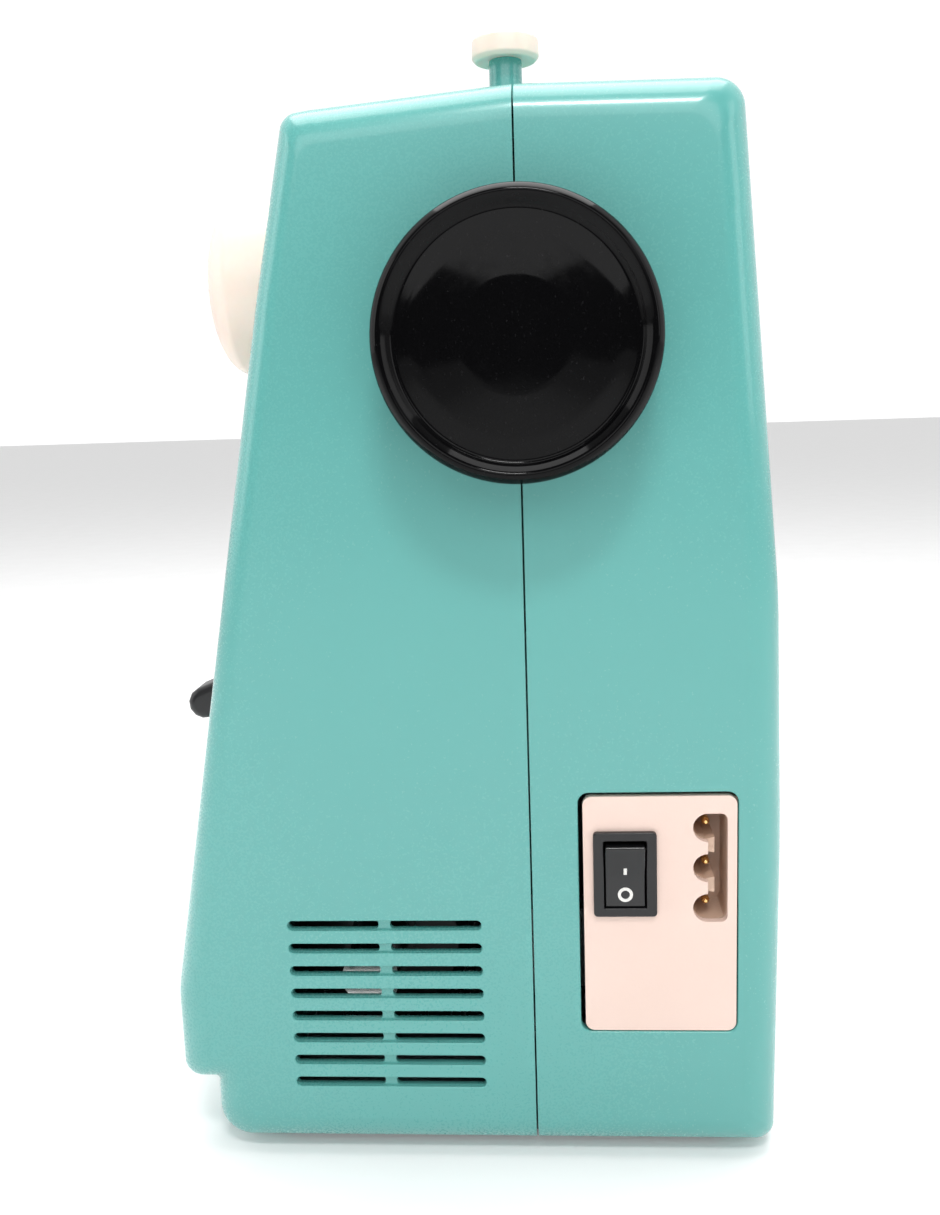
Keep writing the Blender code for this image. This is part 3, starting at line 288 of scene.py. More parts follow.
# name, tint, shade, roughness, then which way it is brushed, grain size and depth
metals = {
    'steel': ('steel', rgb(0.72, 0.72, 0.71), rgb(0.58, 0.58, 0.58), 0.16, (1, 1, 0.08)),
    'plateSteel': ('plateSteel', rgb(0.74, 0.74, 0.73), rgb(0.62, 0.62, 0.61), 0.22, (0.06, 1, 1), 0.0012),
    'cast': ('castMetal', rgb(0.55, 0.56, 0.57), rgb(0.40, 0.41, 0.42), 0.42, (1, 1, 1), 0.0012, 0.5),
    'brass': ('brass', rgb(0.95, 0.62, 0.25), rgb(0.80, 0.47, 0.17), 0.20, (1, 1, 1), 0.001),
    'bronze': ('bronze', rgb(0.55, 0.36, 0.20), rgb(0.42, 0.26, 0.15), 0.45, (1, 1, 1), 0.0008, 0.4)}


def whitePlastic():
    warm = {'Subsurface_Weight': 0.25, 'Subsurface_Radius': (1.0, 0.45, 0.30), 'Subsurface_Scale': 0.006}
    tint, shade = rgb(0.88, 0.735, 0.65), rgb(0.86, 0.70, 0.60)
    return softPlastic('whitePlastic', tint, shade, 0.30, 0.0012, 0.06, **warm)


def floorPaper():
    glow = {'Emission_Color': rgb(1, 1, 1), 'Emission_Strength': 0.12}
    return softPlastic('floorPaper', rgb(0.84, 0.84, 0.84), rgb(0.81, 0.81, 0.81), 0.8, 0.01, 0.02, **glow)


def makeFinishes():
    made = {'teal': tealPlastic(), 'white': whitePlastic(), 'black': glossBlack(), 'clear': clearPlastic(),
            'floor': floorPaper()}
    for name, values in plastics.items():
        made[name] = softPlastic(*values)
    for name, values in metals.items():
        made[name] = metal(*values)
    return made


finishes = makeFinishes()
print('finishes made')


# x takes (y, z), y takes (x, z) and z takes (x, y)
def toSpace(axis, u, v, along):
    return {'x': (along, u, v), 'y': (u, along, v), 'z': (u, v, along)}[axis]


# a face through (u, v, radius) corners, whose corners are then rounded
def outlineFace(bm, axis, corners, along, arcSegments=8):
    verts = [bm.verts.new(toSpace(axis, u, v, along)) for u, v, _ in corners]
    bm.faces.new(verts)
    count = len(corners)
    for index, (vert, corner) in enumerate(zip(verts, corners)):
        radius = corner[2]
        if radius <= 0:
            continue
        here = Vector(corner[:2])
        before = Vector(corners[index - 1][:2]) - here
        after = Vector(corners[(index + 1) % count][:2]) - here
        half = before.angle(after) / 2
        reach = min(radius / math.tan(half), before.length * 0.49, after.length * 0.49)
        turn = math.pi - 2 * half
        segments = max(2, min(arcSegments, math.ceil(math.degrees(turn) / 90 * arcSegments)))
        bmesh.ops.bevel(bm, geom=[vert], offset=reach, offset_type='OFFSET', segments=segments, profile=0.5,
                        affect='VERTICES', material=-1, clamp_overlap=False)
    bm.faces.ensure_lookup_table()
    return bm.faces[0]


# extrude one face, move it and scale it about a centre, and give back the new cap
def extrude(bm, face, shift, scale=(1, 1, 1), centre=(0, 0, 0)):
    made = bmesh.ops.extrude_face_region(bm, geom=[face])
    verts = [item for item in made['geom'] if isinstance(item, bmesh.types.BMVert)]
    cap = [item for item in made['geom'] if isinstance(item, bmesh.types.BMFace)][0]
    if any(len(edge.link_faces) > 2 for edge in face.edges):
        bmesh.ops.delete(bm, geom=[face], context='FACES_ONLY')
    bmesh.ops.translate(bm, vec=Vector(shift), verts=verts)
    bmesh.ops.scale(bm, vec=Vector(scale), space=Matrix.Translation(-Vector(centre)), verts=verts)
    return cap


def prism(axis, corners, start, end, arcSegments=8):
    bm = bmesh.new()
    face = outlineFace(bm, axis, corners, start, arcSegments)
    extrude(bm, face, toSpace(axis, 0, 0, end - start))
    bmesh.ops.recalc_face_normals(bm, faces=bm.faces)
    return bm


# move every face of one bmesh into another
def join(bm, other):
    scrap = bpy.data.meshes.new('scrap')
    other.to_mesh(scrap)
    other.free()
    bm.from_mesh(scrap)
    bpy.data.meshes.remove(scrap)


def box(u0, u1, v0, v1, radius=0.0):
    return [(u0, v0, radius), (u1, v0, radius), (u1, v1, radius), (u0, v1, radius)]


# spin a profile of (radius, along) points about an axis through (u, v)
def turned(axis, u, v, profile, steps):
    own = bmesh.new()
    verts = [own.verts.new(toSpace(axis, radius, 0, along)) for radius, along in profile]
    edges = [own.edges.new(pair) for pair in zip(verts, verts[1:])]
    bmesh.ops.spin(own, geom=verts + edges, cent=(0, 0, 0), axis=Vector(toSpace(axis, 0, 0, 1)),
                   dvec=(0, 0, 0), angle=math.tau, steps=steps, use_merge=True, use_duplicate=False)
    bmesh.ops.remove_doubles(own, verts=own.verts, dist=0.0005)
    bmesh.ops.translate(own, vec=Vector(toSpace(axis, u, v, 0)), verts=own.verts)
    bmesh.ops.recalc_face_normals(own, faces=own.faces)
    return own


# round the inner corners of an open profile
def smoothProfile(points, radius, segments):
    rounded = [points[0]]
    for index in range(1, len(points) - 1):
        here = Vector(points[index][:2])
        size = points[index][2] if len(points[index]) > 2 else radius
        before = Vector(points[index - 1][:2]) - here
        after = Vector(points[index + 1][:2]) - here
        if size <= 0 or before.length < 1e-6 or after.length < 1e-6:
            rounded.append(tuple(here))
            continue
        half = before.angle(after) / 2
        reach = min(size / math.tan(half), before.length * 0.49, after.length * 0.49)
        first = here + before.normalized() * reach
        last = here + after.normalized() * reach
        for step in range(segments + 1):
            t = step / segments
            rounded.append(tuple(first.lerp(here, t).lerp(here.lerp(last, t), t)))
    rounded.append(points[-1])
    return [(p[0], p[1]) for p in rounded]


# shift a profile's points along its axis
def moved(points, along):
    return [(point[0], point[1] + along, *point[2:]) for point in points]


# an object in casing millimetres, not yet moved to the frame's place
def newPiece(name, bm, finish, sharp=35):
    bmesh.ops.recalc_face_normals(bm, faces=bm.faces)
    mesh = bpy.data.meshes.new(name)
    bm.to_mesh(mesh)
    bm.free()
    mesh.materials.append(finishes[finish])
    mesh.shade_smooth()
    mesh.set_sharp_from_angle(angle=math.radians(sharp))
    piece = bpy.data.objects.new(name, mesh)
    scene.collection.objects.link(piece)
    return piece


# cut a piece with a bmesh, and keep the result in its mesh
def carve(piece, cutter, operation='DIFFERENCE'):
    bmesh.ops.recalc_face_normals(cutter, faces=cutter.faces)
    mesh = bpy.data.meshes.new('cutter')
    cutter.to_mesh(mesh)
    cutter.free()
    tool = bpy.data.objects.new('cutter', mesh)
    scene.collection.objects.link(tool)
    modifier = piece.modifiers.new('cut', 'BOOLEAN')
    modifier.operation = operation
    modifier.solver = 'EXACT'
    modifier.object = tool
    keep(piece)
    bpy.data.objects.remove(tool, do_unlink=True)


# apply the piece's modifiers
def keep(piece):
    graph = bpy.context.evaluated_depsgraph_get()
    graph.update()
    made = bpy.data.meshes.new_from_object(piece.evaluated_get(graph), depsgraph=graph)
    old = piece.data
    piece.modifiers.clear()
    piece.data = made
    made.name = piece.name
    bpy.data.meshes.remove(old)


def softenNormals(piece, sharp=35):
    piece.data.shade_smooth()
    piece.data.set_sharp_from_angle(angle=math.radians(sharp))
    modifier = piece.modifiers.new('evenNormals', 'WEIGHTED_NORMAL')
    modifier.mode = 'FACE_AREA_WITH_ANGLE'
    modifier.keep_sharp = True


# move a piece to the frame's place and hand it to its body
def settle(piece, body, replaced=()):
    piece.data.transform(Matrix.Translation(origin) @ Matrix.Scale(mm, 4))
    piece.data.update()
    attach(piece, body)
    if replaced:
        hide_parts(*replaced)


casing = {'length': 310, 'top': 253.6, 'rear': 60.2, 'front': 90.5, 'wall': 2.5, 'endRound': 9.0,
          'pillar': 95, 'head': 72, 'faceCover': 20, 'armUnderside': 172, 'headUnderside': 112,
          'spaceRound': 6, 'edgeRound': 2.6, 'endSteps': 12, 'overrun': 5}
frontSection = [(-46.0, 250.2, 34), (-51.9, 249.4, 7), (-60.2, 209, 80), (-77.8, 112, 240), (-90.6, 40, 26),
                (-90.5, 16.4, 9), (-81.9, 16.4, 1.2), (-82.0, 0, 14)]
rearSection = [(50.4, 252.7, 6.5), (52.2, 229, 80), (59.2, 138, 160), (60.2, 80, 300), (59.3, 0, 4)]


# one half of the casing as a closed solid: a section drawn out along x, with a rounded end
def halfCasing(side, inset=0.0):
    sign = -1 if side == 'front' else 1
    section = frontSection if side == 'front' else rearSection
    parting = sign * partingGap / 2
    left = -casing['length'] + casing['faceCover']
    if inset:  # the inner solid runs past the parting line and the open left end
        parting = -sign * (inset + 1)
        left -= casing['overrun']
    bm = bmesh.new()
    cap = outlineFace(bm, 'x', [(parting, casing['top'], 0)] + section + [(parting, 0, 0)], left, 14)
    if inset:
        bmesh.ops.inset_individual(bm, faces=[cap], thickness=inset, use_even_offset=True)
        bmesh.ops.delete(bm, geom=[face for face in bm.faces if face != cap], context='FACES')
    radius = casing['endRound'] - inset
    cap = extrude(bm, cap, (-left - inset - radius, 0, 0))
    depth = (casing['front'] if side == 'front' else casing['rear']) - inset
    middle = casing['top'] / 2
    half = middle - inset
    shrunk = 0.0
    reached = 0.0
    steps = casing['endSteps']
    for step in range(1, steps + 1):  # the rounded end, as a quarter circle of ever smaller caps
        angle = math.pi / 2 * step / steps
        nowShrunk = radius * (1 - math.cos(angle))
        nowReached = radius * math.sin(angle)
        scale = (1, (depth - nowShrunk) / (depth - shrunk), (half - nowShrunk) / (half - shrunk))
        cap = extrude(bm, cap, (nowReached - reached, 0, 0), scale, (0, 0, middle))
        shrunk, reached = nowShrunk, nowReached
    return bm


def workSpace(grow=0.0):
    pillar = grow - casing['pillar']
    head = casing['head'] - casing['length'] - grow
    far = -casing['length'] - 20
    under = casing['armUnderside'] + grow
    headUnder = casing['headUnderside'] + grow
    radius = casing['spaceRound']
    corners = [(pillar, -20, 0), (pillar, under, radius), (head, under, radius),
               (head, headUnder, radius), (far, headUnder, 0), (far, -20, 0)]
    return prism('y', corners, -130, 130, 8)


# round the edges where the work space meets the outside of a cover
def roundSpaceEdges(piece):
    bm = bmesh.new()
    bm.from_mesh(piece.data)
    bmesh.ops.remove_doubles(bm, verts=bm.verts, dist=0.002)
    left = -casing['length'] + casing['faceCover']
    chosen = []
    for edge in bm.edges:
        if len(edge.link_faces) != 2 or edge.calc_face_angle(0) < math.radians(40):
            continue
        inside = all(vert.co.x < 0.5 - casing['pillar'] and vert.co.z < casing['armUnderside'] + 0.5
                     and abs(vert.co.y) > 20 and vert.co.x > left - 0.1 for vert in edge.verts)
        if inside and not all(abs(vert.co.x - left) < 0.01 for vert in edge.verts):
            chosen.append(edge)
    bmesh.ops.bevel(bm, geom=chosen, offset=casing['edgeRound'], offset_type='OFFSET', segments=5,
                    profile=0.5, affect='EDGES', material=-1, clamp_overlap=False, loop_slide=True)
    bm.to_mesh(piece.data)
    bm.free()


def hollowOut(piece, side):
    inner = newPiece('hollow', halfCasing(side, casing['wall']), 'teal')
    carve(inner, workSpace(casing['wall']))
    hollow = bmesh.new()
    hollow.from_mesh(inner.data)
    bpy.data.objects.remove(inner, do_unlink=True)
    carve(piece, hollow)


# a cutter along x whose mouth flares out to leave a rounded lip
def lipped(corners, depth, lip):
    bm = bmesh.new()
    cap = outlineFace(bm, 'x', corners, -depth)
    us = [corner[0] for corner in corners]
    vs = [corner[1] for corner in corners]
    centre = (0, (min(us) + max(us)) / 2, (min(vs) + max(vs)) / 2)
    halfU = (max(us) - min(us)) / 2
    halfV = (max(vs) - min(vs)) / 2
    cap = extrude(bm, cap, (depth - lip, 0, 0))
    grown = 0.0
    reached = 0.0
    for step in range(1, 5):  # a quarter round in four steps
        angle = math.radians(22.5) * step
        nowGrown = lip * (1 - math.cos(angle))
        nowReached = lip * math.sin(angle)
        scale = (1, (halfU + nowGrown) / (halfU + grown), (halfV + nowGrown) / (halfV + grown))
        cap = extrude(bm, cap, (nowReached - reached, 0, 0), scale, centre)
        grown, reached = nowGrown, nowReached
    extrude(bm, cap, (3, 0, 0))
    bmesh.ops.recalc_face_normals(bm, faces=bm.faces)
    return bm


vents = {'from': -59.95, 'to': -12.4, 'top': 59.7, 'pitch': 5.9, 'rows': 8, 'height': 2.5, 'rib': 2.8,
         'ribDepth': 1.0, 'lip': 0.35}


def ventGrooves():
    bm = bmesh.new()
    half = vents['height'] / 2
    for row in range(vents['rows']):
        z = vents['top'] - row * vents['pitch']
        outline = box(vents['from'], vents['to'], z - half, z + half, half * 0.98)
        join(bm, lipped(outline, vents['ribDepth'], vents['lip']))
    return bm


def ventSlots():
    bm = bmesh.new()
    half = vents['height'] / 2 - 0.1
    middle = (vents['from'] + vents['to']) / 2
    spans = ((vents['from'] + 0.1, middle - vents['rib'] / 2), (middle + vents['rib'] / 2, vents['to'] - 0.1))
    for row in range(vents['rows']):
        z = vents['top'] - row * vents['pitch']
        for start, end in spans:
            join(bm, prism('x', box(start, end, z - half, z + half, half * 0.9), -9, 3, 6))
    return bm


# windows and slots are (from, to, from, to) in the two directions across the cut
holes = {'baseGap': 0.3, 'baseRound': 8, 'pillarWindow': (-34.5, 42.5, -10, 64.5),
         'headWindow': (-282, -260, -8, 17.5), 'shaftHeight': 197.8, 'shaftRadius': 12, 'dialRadius': 22.8,
         'leverGap': 0.8, 'leverLow': 93, 'leverHigh': 121, 'tensionRadius': 4,
         'takeUpSlot': (-286.4, -279.4, 166, 240), 'winderSlot': (-65.8, -53.2, -16.7, -9.3), 'lampGap': 0.3,
         'spoolPin': (-165, 43, 2.8), 'lifterSlot': (-267, -245.5, 25, 32), 'plateGapFront': 1.1,
         'plateGapTop': 0.95, 'plateGap': 0.3, 'plateLip': 0.5}


# cutters for the holes that both covers share across the parting line
def commonHoles():
    low, high = nodeBox('base_plate')
    gap = holes['baseGap']
    pillar = -casing['pillar']
    under = casing['headUnderside']
    radius = holes['shaftRadius']
    base = box(low.x - gap, high.x + gap, low.y - gap, high.y + gap, holes['baseRound'])
    return [prism('z', base, -5, high.z + 1, 6),
            prism('x', box(*holes['pillarWindow']), pillar - 3, pillar + 5, 2),
            prism('z', box(*holes['headWindow'], 2), under - 5, under + 6, 4),
            turned('x', 0, holes['shaftHeight'], [(0, -10), (radius, -10), (radius, 8), (0, 8)], 48)]


def frontHoles():
    dialLow, dialHigh = nodeBox('stitch_dial')
    dialMiddle = (dialLow + dialHigh) / 2
    leverLow, leverHigh = nodeBox('reverse_lever')
    tensionLow, tensionHigh = nodeBox('tension_dial')
    tensionMiddle = (tensionLow + tensionHigh) / 2
    lampLow, lampHigh = nodeBox('lamp_lens')
    radius = holes['dialRadius']
    shaft = holes['tensionRadius']
    lever = box(leverLow.x - holes['leverGap'], leverHigh.x + holes['leverGap'], holes['leverLow'],
                holes['leverHigh'], 2)
    gap = holes['lampGap']
    lamp = box(lampLow.x - gap, lampHigh.x + gap, lampLow.y - gap, lampHigh.y + gap, 5)
    return commonHoles() + [
        turned('y', dialMiddle.x, dialMiddle.z, [(0, -110), (radius, -110), (radius, -45), (0, -45)], 96),
        prism('y', lever, -99, -66, 6),
        turned('y', tensionMiddle.x, tensionMiddle.z, [(0, -90), (shaft, -90), (shaft, -45), (0, -45)], 24),
        prism('y', box(*holes['takeUpSlot'], 3.4), -95, -43, 8),
        prism('z', box(*holes['winderSlot'], 3.6), 245, 262, 8),
        prism('z', lamp, 106, 118, 6)]


def rearHoles():
    low, high = nodeBox('socket_plate')
    x, y, radius = holes['spoolPin']
    gap = holes['plateGap']
    plate = box(low.y - holes['plateGapFront'], high.y + gap, low.z - gap, high.z + holes['plateGapTop'], 2.6)
    return commonHoles() + [
        lipped(plate, 7, holes['plateLip']),
        turned('z', x, y, [(0, 240), (radius, 240), (radius, 262), (0, 262)], 24),
        prism('z', box(*holes['lifterSlot'], 2), 106, 118, 4)]


handleBoss = {'places': (-246, -94), 'halfWidth': 4, 'pinY': 8, 'pinZ': 259, 'pinRadius': 2.3,
              'outline': [(2, 251.5, 0), (14, 251.5, 0), (14, 265, 5.5), (2, 265, 5.5)]}


def addHandleBosses(piece):
    half = handleBoss['halfWidth']
    radius = handleBoss['pinRadius']
    for x in handleBoss['places']:
        carve(piece, prism('x', handleBoss['outline'], x - half, x + half), 'UNION')
        hole = [(0, x - half - 2), (radius, x - half - 2), (radius, x + half + 2), (0, x + half + 2)]
        carve(piece, turned('x', handleBoss['pinY'], handleBoss['pinZ'], hole, 24))


def makeCovers():
    for side, cutters in (('front', frontHoles), ('rear', rearHoles)):
        piece = newPiece(side + 'Cover', halfCasing(side), 'teal')
        carve(piece, workSpace())
        roundSpaceEdges(piece)
        hollowOut(piece, side)
        if side == 'front':
            carve(piece, ventSlots())
            carve(piece, ventGrooves())
        for hole in cutters():
            carve(piece, hole)
        if side == 'rear':
            addHandleBosses(piece)
        softenNormals(piece)
        settle(piece, 'casing', [side + '_cover'])
        print(side, 'cover:', len(piece.data.polygons), 'faces')


makeCovers()

nodeSlots = {part['node']: part['material_slot'] for part in frame['record']['subparts']}
nodeBodies = {node: body for body, nodes in frame['record']['behaviour']['bodies'].items() for node in nodes}


# a copy of a CAD solid with its flat faces joined up and its edges rounded
def refined(node, finish, width):
    bm = bmesh.new()
    bm.from_mesh(frame['nodes'][node].data)
    bmesh.ops.remove_doubles(bm, verts=bm.verts, dist=1e-6)
    bmesh.ops.dissolve_limit(bm, angle_limit=math.radians(0.8), verts=bm.verts, edges=bm.edges)
    mesh = bpy.data.meshes.new(node)
    bm.to_mesh(mesh)
    bm.free()
    for name in [entry.name for entry in mesh.attributes if entry.name == 'custom_normal']:
        mesh.attributes.remove(mesh.attributes[name])
    mesh.materials.clear()
    mesh.materials.append(finishes[finish])
    piece = bpy.data.objects.new(node + 'Refined', mesh)
    scene.collection.objects.link(piece)
    modifier = piece.modifiers.new('roundedEdges', 'BEVEL')
    modifier.width = width * mm
    modifier.segments = 3
    modifier.profile = 0.5
    modifier.limit_method = 'ANGLE'
    modifier.angle_limit = math.radians(32)
    modifier.miter_outer = 'MITER_ARC'
    keep(piece)
    softenNormals(piece, 40)
    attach(piece, nodeBodies[node])
    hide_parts(node)


# node, finish, and how far its edges are rounded in millimetres
refinements = [
    ('free_arm_cover', 'teal', 1.2),
    ('face_cover', 'teal', 1.4),
    ('extension_table', 'teal', 1.1),
    ('carry_handle', 'teal', 1.5),
    ('base_plate', 'grey', 0.8),
    ('frame_casting', 'cast', 1.0),
    ('inlet_block', 'inlet', 0.3),
    ('reverse_lever', 'blackSatin', 2.2),
    ('take_up_lever', 'steel', 0.5),
    ('presser_foot', 'steel', 0.4),
    ('presser_lifter', 'blackSatin', 0.9),
    ('needle_clamp', 'steel', 0.4),
    ('needle_plate', 'plateSteel', 0.25),
    ('bobbin_cover', 'clear', 0.4),
    ('lamp_lens', 'clear', 0.7),
    ('feed_dog', 'plateSteel', 0.15),
    ('winder_carrier', 'blackSatin', 0.3),
    ('motor_bracket', 'plateSteel', 0.4),
]


def makeRefined():
    for node, finish, width in refinements:
        refined(node, finish, width)


makeRefined()
print('refined pieces made')


# profile points are (radius, along, rounding), measured from the front and from the back
handwheel = {'front': [(0, -1.0), (12, -1.25, 20), (22, -2.1, 20), (26.0, -3.0, 1.2), (27.0, -1.9, 0.6),
                       (28.9, 0, 1.8), (30.8, -2.4, 2.4)],
             'back': [(29.9, 2.2, 1.6), (27.8, 0, 1.4), (24, 0, 0.5), (22, 3, 1), (9, 3, 1), (8, 0, 0.5),
                      (0, 0)],
             'radius': 30.8, 'grips': 120, 'gripDepth': 0.45, 'gripFrom': 5.4, 'gripTo': 15.6, 'gripEnd': 0.2}


def makeHandwheel():
    low, high = nodeBox('handwheel')
    middle = (low + high) / 2
    radius = handwheel['radius']
    grip = [(radius, handwheel['gripTo'], 0.4), (radius, handwheel['gripFrom'], 0.4)]
    points = moved(handwheel['front'], high.x) + grip + moved(handwheel['back'], low.x)
    profile = smoothProfile(points, 1.0, 6)
    steps = handwheel['grips'] * 2
    bm = turned('x', middle.y, middle.z, profile, steps)
    inner = handwheel['gripFrom'] + handwheel['gripEnd']
    outer = handwheel['gripTo'] - handwheel['gripEnd']
    for cut in (inner, outer):
        bmesh.ops.bisect_plane(bm, geom=bm.verts[:] + bm.edges[:] + bm.faces[:], plane_co=(cut, 0, 0),
                               plane_no=(1, 0, 0))
    for vert in bm.verts:  # every second step round the rim is a groove
        across = Vector((0, vert.co.y - middle.y, vert.co.z - middle.z))
        if across.length < radius - 0.1 or not inner - 0.01 <= vert.co.x <= outer + 0.01:
            continue
        step = round(math.atan2(across.z, across.y) / math.tau * steps)
        if step % 2:
            vert.co -= across.normalized() * handwheel['gripDepth']
    piece = newPiece('handwheelRim', bm, 'black', 50)
    settle(piece, 'main_shaft', ['handwheel'])


makeHandwheel()
print('handwheel made')


dial = {'front': [(0, 0), (9, 0.45, 14), (16, 2.0, 14), (20.2, 4.3, 8), (22.2, 7.4, 3)],
        'back': [(22.2, -1.2, 0.5), (21, 0, 1), (18.5, 0, 0.6), (18.5, -5, 0.6), (4.2, -5, 0.5),
                 (4.2, 0, 0.3), (0, 0)],
        'ticks': 12, 'sweep': 300, 'tickHalf': 0.35, 'tickFrom': 15.5, 'tickTo': 18.5}


def makeDial():
    low, high = nodeBox('stitch_dial')
    middle = (low + high) / 2
    profile = smoothProfile(moved(dial['front'], low.y) + moved(dial['back'], high.y), 1, 6)
    piece = newPiece('stitchDialCap', turned('y', middle.x, middle.z, profile, 160), 'white', 30)
    groove = bmesh.new()
    for index in range(dial['ticks']):
        angle = math.radians(-dial['sweep'] / 2 + index * dial['sweep'] / (dial['ticks'] - 1))
        outline = box(-dial['tickHalf'], dial['tickHalf'], low.y - 1, low.y + 2.5, 0.1)
        tick = prism('z', outline, dial['tickFrom'], dial['tickTo'], 2)
        spin = Matrix.Rotation(angle, 4, 'Y')
        bmesh.ops.transform(tick, matrix=Matrix.Translation((middle.x, 0, middle.z)) @ spin, verts=tick.verts)
        join(groove, tick)
    carve(piece, groove)
    softenNormals(piece, 30)
    settle(piece, 'stitch_dial', ['stitch_dial'])


tension = {'shaft': 3.4, 'shaftLength': 4, 'steps': 96, 'fluteEvery': 3, 'fluteDepth': 0.5}


def makeTensionDial():
    low, high = nodeBox('tension_dial')
    middle = (low + high) / 2
    radius = (high.x - low.x) / 2
    shaft = tension['shaft']
    shoulder = high.y - tension['shaftLength']
    profile = smoothProfile([(0, low.y), (radius - 3, low.y, 2), (radius - 1.4, low.y + 1.6, 1),
                             (radius, low.y + 2.4, 0.5), (radius, shoulder, 0.4), (shaft, shoulder, 0.3),
                             (shaft, high.y, 0.3), (0, high.y)], 1, 5)
    steps = tension['steps']
    bm = turned('y', middle.x, middle.z, profile, steps)
    for vert in bm.verts:
        across = Vector((vert.co.x - middle.x, 0, vert.co.z - middle.z))
        if across.length > radius - 0.05:
            step = round(math.atan2(across.z, across.x) / math.tau * steps)
            if step % tension['fluteEvery'] == 0:
                vert.co -= across.normalized() * tension['fluteDepth']
    piece = newPiece('tensionDialCap', bm, 'white', 40)
    settle(piece, 'tension_dial', ['tension_dial'])


stop = {'capRadius': 8.0, 'capHeight': 5.7, 'stem': 3.3, 'bevel': 0.9}


def makeWinderStop():
    low, high = nodeBox('winder_stop')
    middle = (low + high) / 2
    under = high.z - stop['capHeight']
    radius = stop['capRadius']
    stem = stop['stem']
    bevel = stop['bevel']
    profile = smoothProfile([(0, low.z), (stem, low.z, 0.2), (stem, under + 0.5, 0.8),
                             (radius - bevel, under, 0.7), (radius, under + bevel, 0.7),
                             (radius - 0.15, high.z - bevel, 1.0), (radius - 1.2, high.z - 0.1, 1.0),
                             (4, high.z, 1), (0, high.z)], 1, 5)
    piece = newPiece('winderStopCap', turned('z', middle.x, middle.y, profile, 96), 'white', 35)
    settle(piece, 'winder_stop', ['winder_stop'])


def makeStopPost():
    low, high = nodeBox('stop_post')
    middle = (low + high) / 2
    radius = (high.x - low.x) / 2
    profile = smoothProfile([(0, low.z), (radius, low.z, 0.2), (radius - 0.1, high.z - 0.2, 0.4),
                             (radius - 0.6, high.z, 0.3), (0, high.z)], 0.4, 4)
    piece = newPiece('stopPostTurned', turned('z', middle.x, middle.y, profile, 48), 'teal', 35)
    settle(piece, 'casing', ['stop_post'])


def makeSpoolPin():
    low, high = nodeBox('spool_pin')
    middle = (low + high) / 2
    radius = (high.x - low.x) / 2
    profile = smoothProfile([(0, low.z), (radius, low.z, 0.4), (radius, high.z - 2.2, 1.2),
                             (radius - 0.9, high.z, 1.0), (0, high.z)], 1, 5)
    piece = newPiece('spoolPinTurned', turned('z', middle.x, middle.y, profile, 40), 'white', 40)
    settle(piece, 'spool_pin', ['spool_pin'])


foot = {'count': 4, 'ring': [(0, 0), (2.5, 0, 0.2), (3.1, 0.7, 0.2), (3.9, 0, 0.2)]}  # a groove in the sole


def makeFeet():
    for index in range(1, foot['count'] + 1):
        node = 'rubber_foot_%d' % index
        low, high = nodeBox(node)
        middle = (low + high) / 2
        radius = (high.x - low.x) / 2
        side = [(radius - 0.7, low.z, 0.6), (radius, low.z + 1.0, 0.5), (radius, high.z, 0.2), (0, high.z)]
        profile = smoothProfile(moved(foot['ring'], low.z) + side, 0.4, 4)
        piece = newPiece('foot%d' % index, turned('z', middle.x, middle.y, profile, 48), 'rubber', 40)
        settle(piece, 'casing', [node])


makeDial()
makeTensionDial()
makeWinderStop()
makeStopPost()
makeSpoolPin()
makeFeet()
print('dials and knobs made')


panel = {'corner': 2.2, 'edge': 0.45, 'lobe': 3.5, 'lobeY': 41.9, 'middleZ': 73.95, 'pitch': 10.0,
         'wallY': 46.5, 'overlap': 0.75}
switch = {'pivot': (-2.5, 22.3, 72.8), 'halfWidth': 4.7, 'halfHeight': 7.9, 'tilt': 7.0, 'dish': 1.0,
          'crown': 4.1, 'clearWide': 0.35, 'clearTall': 0.45}
marks = {'barWide': 0.38, 'barTall': 1.3, 'barHeight': 0.9, 'ringInner': 1.05, 'ringOuter': 1.8,
         'ringHeight': -4.6, 'depth': 0.4, 'proud': 0.04, 'lift': 0.06}


# bevel the sharp edges that lie in the plane x = front
def roundFrontEdges(piece, front, width, segments=4):
    bm = bmesh.new()
    bm.from_mesh(piece.data)
    bmesh.ops.remove_doubles(bm, verts=bm.verts, dist=0.001)
    edges = [edge for edge in bm.edges if all(abs(vert.co.x - front) < 0.001 for vert in edge.verts)
             and len(edge.link_faces) == 2 and edge.calc_face_angle(0) > math.radians(50)]
    bmesh.ops.bevel(bm, geom=edges, offset=width, offset_type='OFFSET', segments=segments, profile=0.5,
                    affect='EDGES', material=-1, clamp_overlap=True)
    bm.to_mesh(piece.data)
    bm.free()


